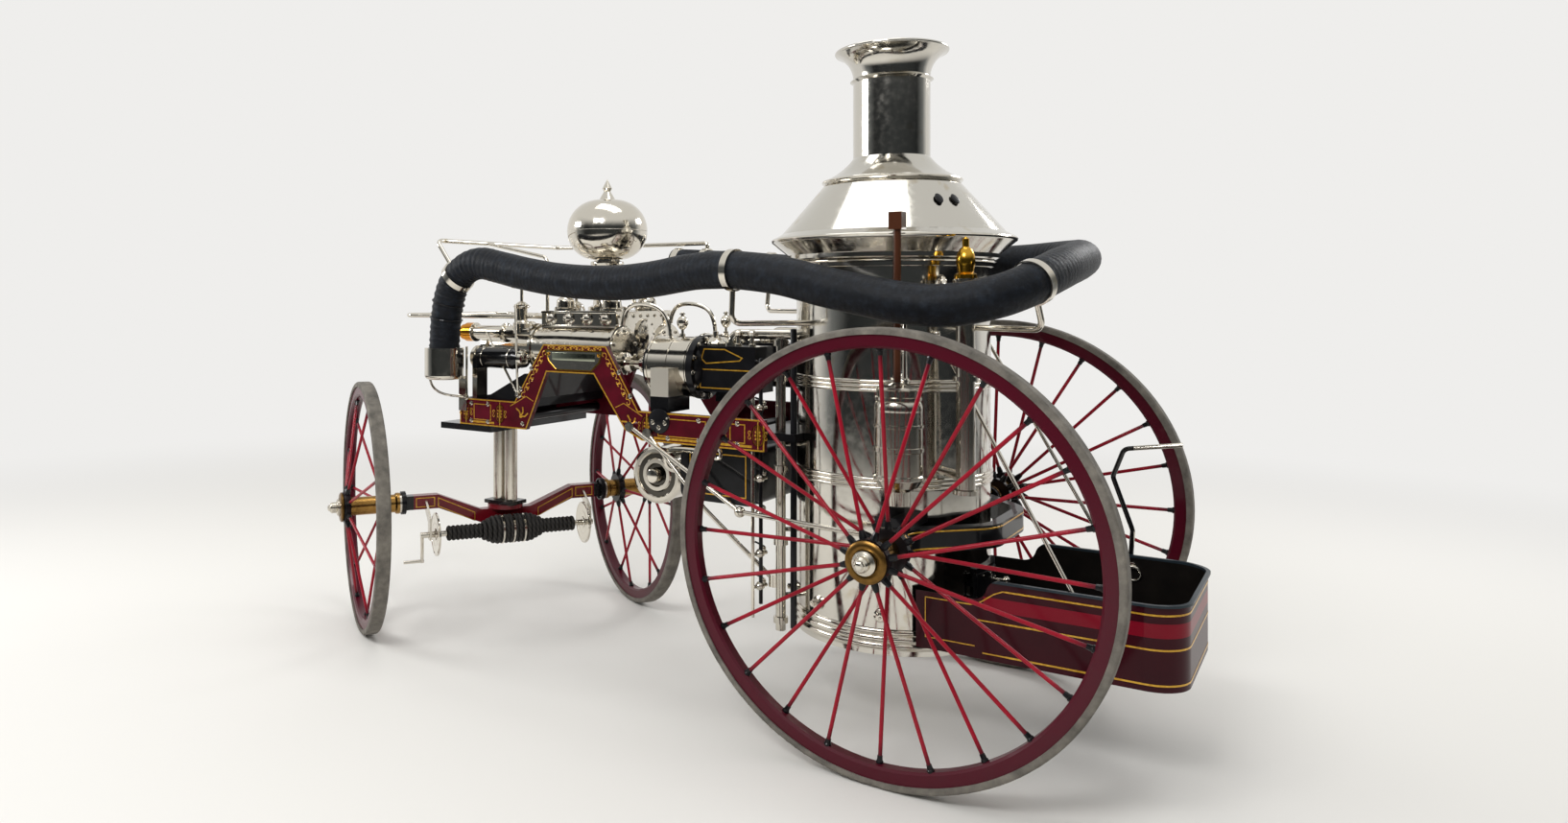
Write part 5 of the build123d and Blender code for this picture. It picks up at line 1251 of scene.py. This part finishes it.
class ENGINE_OT_steam_end(EngineOperator, bpy.types.Operator):
    """Cylinder heads, their bolts, glands, lubricators and small pipes"""
    bl_idname = "engine.steam_end"
    bl_label = "Steam end"

    def execute(self, context):
        black, nickel = bmesh.new(), bmesh.new()
        for side in SIDES:
            y = side * JACKET_Y
            forward = at(JACKET_X, y, JACKET_Z, FORE)
            rearward = at(HEAD_X, y, JACKET_Z, AFT)
            join(black, turned([(36, 0), (118, 0), (118, 16), (102, 22), (60, 30), (52, 62), (36, 62)], 40,
                               ring=True), forward)
            join(nickel, turned([(17.5, 60), (46, 60), (46, 72), (36, 78), (36, 92), (17.5, 92)], 28,
                                ring=True), forward)
            join(black, turned([(0, 0), (112, 0), (104, 12), (85, 24), (0, 30)], 40), rearward)
            bolt_ring(nickel, rearward, HEAD_BOLTS_R, 12, 0.009, 0.008, 0.13)
            bolt_ring(nickel, raised(forward, 0.016), HEAD_BOLTS_R * 0.88, 12, 0.007, 0.006, -0.13)
            for band_x in (0.008, 0.105, 0.196):
                join(nickel, lathe([(JACKET_R, -0.006), (JACKET_R + 0.003, -0.004),
                                    (JACKET_R + 0.003, 0.004), (JACKET_R, 0.006)], 48, ring=True),
                     at(JACKET_X + band_x, y, JACKET_Z, AFT))
            self.lubricator(nickel, spot(-1.09, y, JACKET_Z + JACKET_R - 0.003))
            arch = ((-1.40, 0.2, 1.50), (-1.39, 0.2, 1.575), (-1.30, 0.2, 1.60), (-1.19, 0.2, 1.575),
                    (-1.15, 0.195, 1.50), (-1.15, 0.195, 1.448))
            join(nickel, pipe(route(side, arch), 0.010, 10))
            self.chest_top(nickel, side)
        finish(black, "cylinder_heads", *BLACK)
        finish(nickel, "steam_end_fittings", *NICKEL)
        return {"FINISHED"}

    def lubricator(self, group, foot):
        """A displacement oiler: stem, globe, cap and a tee handle."""
        join(group, turned([(0, 0), (12, 0), (12, 12), (6, 18), (6, 30), (16, 38), (25, 55), (25, 70),
                            (16, 85), (8, 90), (8, 104), (3, 108), (0, 108)], 20), Matrix.Translation(foot))
        join(group, bar(foot + Vector((0, -0.02, 0.1)), foot + Vector((0, 0.02, 0.1)), 0.003))

    def chest_top(self, group, side):
        """Cover, nuts and relief cocks above a steam chest."""
        y, top = side * JACKET_Y, 1.419
        join(group, turned([(0, 0), (50, 0), (50, 10), (42, 16), (30, 34), (12, 40), (12, 60), (0, 62)],
                           26), at(CHEST_X, y, top))
        bolt_ring(group, at(CHEST_X, y, top + 0.009), 0.044, 8, 0.006, 0.006)
        for x in (-0.80, -0.735):
            join(group, turned([(0, 0), (16, 0), (16, 10), (9, 14), (9, 40), (18, 46), (20, 60), (10, 70),
                                (0, 72)], 18), at(x, y + side * 0.03, top))


class ENGINE_OT_pump_fittings(EngineOperator, bpy.types.Operator):
    """Valve caps, heads, cocks, stays and gauges round the pump and the air chamber"""
    bl_idname = "engine.pump_fittings"
    bl_label = "Pump fittings"

    def execute(self, context):
        nickel = bmesh.new()
        for x in (-1.77, -1.50):
            for y in (-0.145, 0.145):
                foot = at(x, y, 1.572)
                bolt_ring(nickel, foot, 0.0495, 8, 0.005, 0.005, 0.2)
                join(nickel, slab((0.024, 0.024, 0.018), (0, 0, 0.08), 0.002), foot)
        for side in SIDES:
            self.barrel(nickel, side)
            self.outlet_valve(nickel, side)
            self.stays(nickel, side)
            for x in (-1.79, -1.685, -1.58, -1.475):
                self.side_cover(nickel, outward(side, x, 0.23, 1.526))
            join(nickel, slab((0.43, 0.012, 0.012), spot(PUMP_X, side * 0.232, 1.556)))
            join(nickel, slab((0.43, 0.014, 0.01), spot(PUMP_X, side * 0.231, 1.492)))
        self.end_covers(nickel)
        self.air_chamber(nickel)
        finish(nickel, "pump_fittings", *NICKEL)
        self.gauge(spot(-1.50, -0.245, 1.675), Vector((0.35, -1, 0.1)), "pump_gauge",
                   spot(-1.50, -0.10, 1.60))
        self.front_cylinders()
        return {"FINISHED"}

    def side_cover(self, group, seat):
        """A round bolted cover with a domed middle on the pump's side."""
        join(group, turned([(0, 0), (30, 0), (30, 6), (21, 9), (14, 20), (6, 24), (0, 25)], 24), seat)
        bolt_ring(group, raised(seat, 0.006), 0.0255, 6, 0.0038, 0.0036)

    def barrel(self, group, side):
        """Front and rear heads of one pump barrel."""
        y, z = side * JACKET_Y, JACKET_Z + 0.06
        for x, way in ((PUMP_LOW.x, -1), (PUMP_HIGH.x, 1)):
            seat = at(x, y, z, way * AFT)
            bolt_ring(group, seat, 0.088, 10, 0.0075, 0.007, way * 0.3)
            join(group, turned([(105, -12), (113, -10), (113, 4), (105, 6)], 40, ring=True),
                 raised(seat, -0.012))
        join(group, turned([(17.5, 0), (50, 0), (50, 12), (34, 18), (34, 50), (17.5, 50)], 26, ring=True),
             at(PUMP_HIGH.x, y, JACKET_Z, AFT))

    def end_covers(self, group):
        """A round hand-hole cover and a row of bolts on each end of the pump's body."""
        for x, way in ((-1.847, FORE), (-1.417, AFT)):
            seat = at(x, 0, 1.452, way)
            join(group, turned([(0, 0), (72, 0), (72, 10), (60, 14), (52, 13), (34, 22), (0, 25)], 36), seat)
            bolt_ring(group, raised(seat, 0.011), 0.065, 8, 0.0055, 0.005)
            for number in range(8):
                join(group, hex_bolt(0.007, 0.006), at(x, -0.207 + number * 0.0591, 1.538, way))

    def outlet_valve(self, group, side):
        """Bonnet, spindle and hand wheel over one outlet pipe."""
        foot = spot(-1.985, side * 0.215, 1.452)
        seat, wheel = Matrix.Translation(foot), foot + UP * 0.222
        for rise, radius, wire in ((0.048, 0.037, 0.004), (0.128, 0.037, 0.004), (0.222, 0.046, 0.006)):
            join(group, hoop(radius, wire, 30, 8), raised(seat, rise))
        join(group, turned([(0, 236), (14, 236), (14, 242), (9, 247), (0, 249)], 12), seat)
        for number in range(3):
            angle = number * math.pi / 3
            reach = Vector((0.044 * math.cos(angle), 0.044 * math.sin(angle), 0))
            join(group, bar(wheel + reach, wheel - reach, 0.004, 8))

    def stays(self, group, side):
        """Two thin stays that meet at the bolt on the neck's front foot."""
        bolt = spot(-1.868, side * (FRAME_OUT_Y + 0.007), 1.175)
        join(group, bar(bolt, spot(-1.985, side * 0.262, 1.59), 0.006))
        join(group, bar(bolt, spot(-2.17, side * 0.262, 1.452), 0.006))
        join(group, hex_bolt(0.013, 0.012), outward(side, -1.868, FRAME_OUT_Y, 1.175))

    def air_chamber(self, group):
        """Rings and bolts at the vessel's foot, its two side pipes and the hoop on its waist."""
        foot = spot(PUMP_X, 0, 0)
        seat = Matrix.Translation(foot)
        for z, radius in ((1.625, 0.075), (1.70, 0.070), (1.785, 0.078)):
            join(group, lathe([(0.055, -0.012), (radius, -0.010), (radius + 0.004, 0), (radius, 0.010),
                               (0.055, 0.012)], 36, ring=True), raised(seat, z))
        bolt_ring(group, raised(seat, PUMP_HIGH.z + 0.018), 0.078, 8, 0.008, 0.008)
        for side in SIDES:
            elbow = ((0, 0.06, 1.66), (0.02, 0.13, 1.66), (0.06, 0.14, 1.62), (0.08, 0.14, 1.55))
            join(group, pipe(route(side, elbow, foot), 0.009, 8))
        join(group, hoop(0.1905, 0.0022, 64, 8), raised(seat, 1.94))

    def gauge(self, place, way, name, foot):
        """A pressure gauge: case, bezel, blank dial with ticks, and its hand."""
        case, dial, marks = bmesh.new(), bmesh.new(), bmesh.new()
        seat = aimed(place, way)
        join(case, turned([(0, -20), (46, -20), (50, -14), (50, 6), (55, 8), (55, 14), (46, 16), (44, 9),
                           (0, 8)], 36), seat)
        join(case, pipe([foot, (foot + place) / 2 - UP * 0.03, place - way.normalized() * 0.015], 0.007, 6))
        join(dial, drum(0.0435, 0.0012, steps=36), raised(seat, 0.0082))
        for number in range(11):
            turn = Matrix.Rotation(math.radians(-135 + number * 27), 4, "Z")
            join(marks, slab((0.0016, 0.008, 0.0008), (0, 0.036, 0.0098), 0.0003), seat @ turn)
        join(marks, slab((0.002, 0.034, 0.001), (0, 0.012, 0.0105), 0.0004),
             seat @ Matrix.Rotation(0.9, 4, "Z"))
        finish(case, name, *NICKEL)
        finish(dial, f"{name}_dial", "polished_nickel", "white_dial_enamel")
        finish(marks, f"{name}_marks", *BLACK)

    def front_cylinders(self):
        """Plugs, hoops and pipes of the two air cylinders beside the pump's front."""
        nickel = bmesh.new()
        low, high = extent("front_cylinders")
        for side in SIDES:
            nose, tail = (spot(x, side * 0.30, 1.335) for x in (low.x, high.x))
            join(nickel, turned([(0, -1), (30, -1), (24, 8), (12, 12), (12, 30), (0, 32)], 24),
                 aimed(nose, FORE))
            join(nickel, turned([(0, -2), (36, -2), (44, 12), (40, 30), (20, 42), (0, 44)], 26),
                 aimed(tail, AFT))
            for x in (0.07, 0.235):
                join(nickel, hoop(0.0495, 0.0025, 40, 8), aimed(nose + AFT * x, AFT))
            elbow = ((0, 0, 0), (0.045, 0, 0), (0.05, 0.03, 0.06), (0.05, 0.075, 0.10))
            join(nickel, pipe(route(-side, elbow, tail), 0.009, 8))
        finish(nickel, "front_cylinder_fittings", *NICKEL)


class ENGINE_OT_boiler_fittings(EngineOperator, bpy.types.Operator):
    """Cocks, pipes and plugs on the boiler, the hood's beads and the black discs painted as the shade in its
    holes, and the fire door's latch
    """
    bl_idname = "engine.boiler_fittings"
    bl_label = "Boiler fittings"

    def execute(self, context):
        nickel, dark = bmesh.new(), bmesh.new()
        for side in SIDES:
            for z in (0.47, 0.60, 0.76, 0.90, 1.04, 1.18, 1.33):
                self.cock(nickel, dark, spot(-0.645, side * 0.30, z), (-0.35, side, 0))
            for group, x, y, foot, head, radius in (
                (dark, -0.645, 0.315, 0.40, 1.38, 0.008),
                (dark, -0.50, 0.318, 0.33, 1.50, 0.013),
                (nickel, -0.665, 0.345, 0.35, 1.30, 0.007),
            ):
                join(group, bar(spot(x, side * y, foot), spot(x, side * y, head), radius))
            self.plugs(nickel, side)
        self.loops(nickel)
        self.try_cocks(nickel, dark)
        self.hood(nickel, dark)
        self.door()
        finish(nickel, "boiler_fittings", *NICKEL)
        finish(dark, "boiler_dark_fittings_and_vent_shade", *BLACK)
        return {"FINISHED"}

    def on_shell(self, angle, z, out=0.0):
        """A point on the shell at an angle from the rear towards the right, and the way out from it."""
        turn = math.radians(angle)
        way = Vector((math.cos(turn), math.sin(turn), 0))
        return spot(BOILER_X, 0, z) + way * (BOILER_R + out), way

    def cock(self, nickel, dark, place, way):
        """A small plug cock: body, nut, key and spout."""
        globe = bmesh.new()
        bmesh.ops.create_uvsphere(globe, u_segments=16, v_segments=10, radius=0.014)
        join(nickel, turned([(0, -20), (8, -20), (8, 0), (16, 4), (18, 20), (12, 30), (7, 34), (7, 50),
                             (0, 50)], 16), aimed(place, way))
        join(nickel, globe, Matrix.Translation(place + UP * 0.018))
        join(dark, bar(place + UP * 0.03, place + Vector((-0.035, 0, 0.04)), 0.004, 8))

    def plugs(self, group, side):
        """Washout plugs in the foot of the shell."""
        for angle in (35, 75, 115, 150):
            place, way = self.on_shell(side * angle, 0.455)
            join(group, turned([(0, 0), (26, 0), (26, 6), (18, 10), (16, 24), (0, 26)], 16),
                 aimed(place, way))
            join(group, hex_bolt(0.012, 0.012), aimed(place + way * 0.022, way))

    def loops(self, group):
        """Two syphon loops and their fittings beside the whistle."""
        for angle, rise in ((-48, 1.60), (-33, 1.58)):
            place, way = self.on_shell(angle, rise, -0.005)
            loop = ((0, 0), (0.06, 0), (0.07, 0.09), (0.12, 0.10), (0.15, 0.03), (0.11, -0.02), (0.09, 0.01))
            join(group, pipe([place + way * out + UP * up for out, up in loop], 0.009, 10))
            join(group, drum(0.024, 0.014), aimed(place, way))

    def try_cocks(self, nickel, dark):
        """A stack of try cocks on the back left of the shell, over a polished drip pipe."""
        angle = -63
        for z in (1.08, 1.20, 1.32, 1.44, 1.54):
            place, way = self.on_shell(angle, z)
            join(nickel, drum(0.02, 0.008), aimed(place, way))
            self.cock(nickel, dark, place + way * 0.026, way)
        join(nickel, bar(self.on_shell(angle, 0.99, 0.05)[0], self.on_shell(angle, 1.60, 0.05)[0], 0.008))

    def hood(self, nickel, dark):
        """Rolled beads on the hood, and in its slope two black discs that are painted shade standing in for
        the vent holes.
        """
        centre = at(BOILER_X, 0, 0)
        for radius, z, wire in ((0.470, 1.849, 0.006), (0.394, 1.760, 0.0035), (0.382, 1.742, 0.003),
                                (0.268, 2.084, 0.006)):
            join(nickel, hoop(radius, wire, 96, 8), raised(centre, z))
        for angle in (-28, -40):
            # Each vent hole is a thin black disc laid on the hood: painted shade where the opening is
            vent = drum(0.022, 0.004, steps=24)
            bmesh.ops.scale(vent, vec=(0.7, 1.1, 1), verts=vent.verts)
            level = self.on_shell(angle, 0)[1]
            join(dark, vent, aimed(spot(BOILER_X, 0, 1.987) + level * 0.345, level * 0.77 + UP * 0.64))

    def door(self):
        """Rivets of the fire door's two straps, and its latch and knob."""
        group = bmesh.new()
        for height in (0.487, 0.583):
            for angle in (-12, -3, 6):
                join(group, drum(0.006, 0.004, steps=10), aimed(*self.on_shell(angle, height, 0.0195)))
        join(group, turned([(0, 0), (14, 0), (14, 4), (5, 8), (5, 30), (13, 36), (15, 46), (8, 54),
                            (0, 55)], 18), aimed(*self.on_shell(13, 0.535, 0.0145)))
        finish(group, "fire_door_latch", "black_enamel", NICKEL[1], "fire_door_leaf")


class ENGINE_OT_ironwork(EngineOperator, bpy.types.Operator):
    """Small ironwork under the frame and on the fore-carriage"""
    bl_idname = "engine.ironwork"
    bl_label = "Ironwork"

    def execute(self, context):
        nickel, black = bmesh.new(), bmesh.new()
        for side in SIDES:
            bend = ((-1.02, 0.33, 0.90), (-1.06, 0.36, 0.90), (-1.07, 0.37, 0.98), (-0.98, 0.38, 1.0),
                    (-0.83, 0.38, 0.992))
            join(nickel, pipe(route(side, bend), 0.013, 10))
            join(nickel, hoop(0.02, 0.008, 24, 8), at(-0.81, side * 0.38, 0.992, (0, 1, 0)))
            join(nickel, bar(spot(DRUM_X, side * 0.285, DRUM_Z), spot(DRUM_X, side * 0.30, DRUM_Z), 0.03, 24))
        strap = ((-2.349, -0.470, 1.315), (-2.351, -0.470, 1.235), (-2.335, -0.458, 1.185),
                 (-2.30, -0.43, 1.158), (-2.25, -0.392, 1.148), (-2.20, -0.379, 1.147))
        join(nickel, pipe(route(1, strap), 0.006, 8))
        join(nickel, bar(spot(-2.19, -0.380, 1.135), spot(-2.19, -0.380, 1.39), 0.006))
        join(nickel, hex_bolt(0.011, 0.009), at(-2.19, -0.381, 1.147, (0, -1, 0)))
        finish(nickel, "under_frame_pipes", *NICKEL)
        for side in SIDES:
            join(black, turned([(51, -12), (57, -10), (57, 10), (51, 12)], 30, ring=True),
                 FORE_CARRIAGE @ aimed((0, side * 0.5239, FRONT_WHEEL_R), (0, 1, 0)))
        finish(black, "front_axle_bands", *BLACK, "fore_carriage")
        return {"FINISHED"}


class ENGINE_PT_panel(bpy.types.Panel):
    """Lists the sizes, the colours and the pieces in the sidebar"""
    bl_idname = "ENGINE_PT_panel"
    bl_label = "Steam Fire Engine"
    bl_space_type = "VIEW_3D"
    bl_region_type = "UI"
    bl_category = "Fire Engine"

    def draw(self, context):
        for group in (context.scene.engine_sizes, context.scene.engine_colours):
            for name in group.__annotations__:
                self.layout.prop(group, name)
        for operator in OPERATORS:
            self.layout.operator(operator.bl_idname)


OPERATORS = (
    ENGINE_OT_finishes,
    ENGINE_OT_suction_hose,
    ENGINE_OT_frame_lining,
    ENGINE_OT_axle_lining,
    ENGINE_OT_tray_fittings,
    ENGINE_OT_wheel_fittings,
    ENGINE_OT_reel,
    ENGINE_OT_steam_end,
    ENGINE_OT_pump_fittings,
    ENGINE_OT_boiler_fittings,
    ENGINE_OT_ironwork,
    ENGINE_OT_stage,
)
CLASSES = (EngineColours, EngineSizes, *OPERATORS, ENGINE_PT_panel)


def register():
    """Makes the classes and their settings known."""
    for cls in CLASSES:
        bpy.utils.register_class(cls)
    bpy.types.Scene.engine_colours = bpy.props.PointerProperty(type=EngineColours)
    bpy.types.Scene.engine_sizes = bpy.props.PointerProperty(type=EngineSizes)


def unregister():
    """Takes the classes and their settings away."""
    del bpy.types.Scene.engine_sizes
    del bpy.types.Scene.engine_colours
    for cls in reversed(CLASSES):
        bpy.utils.unregister_class(cls)


def main():
    """Builds every piece in order."""
    register()
    for operator in OPERATORS:
        group, name = operator.bl_idname.split(".")
        getattr(getattr(bpy.ops, group), name)()


if __name__ == "__main__":
    main()
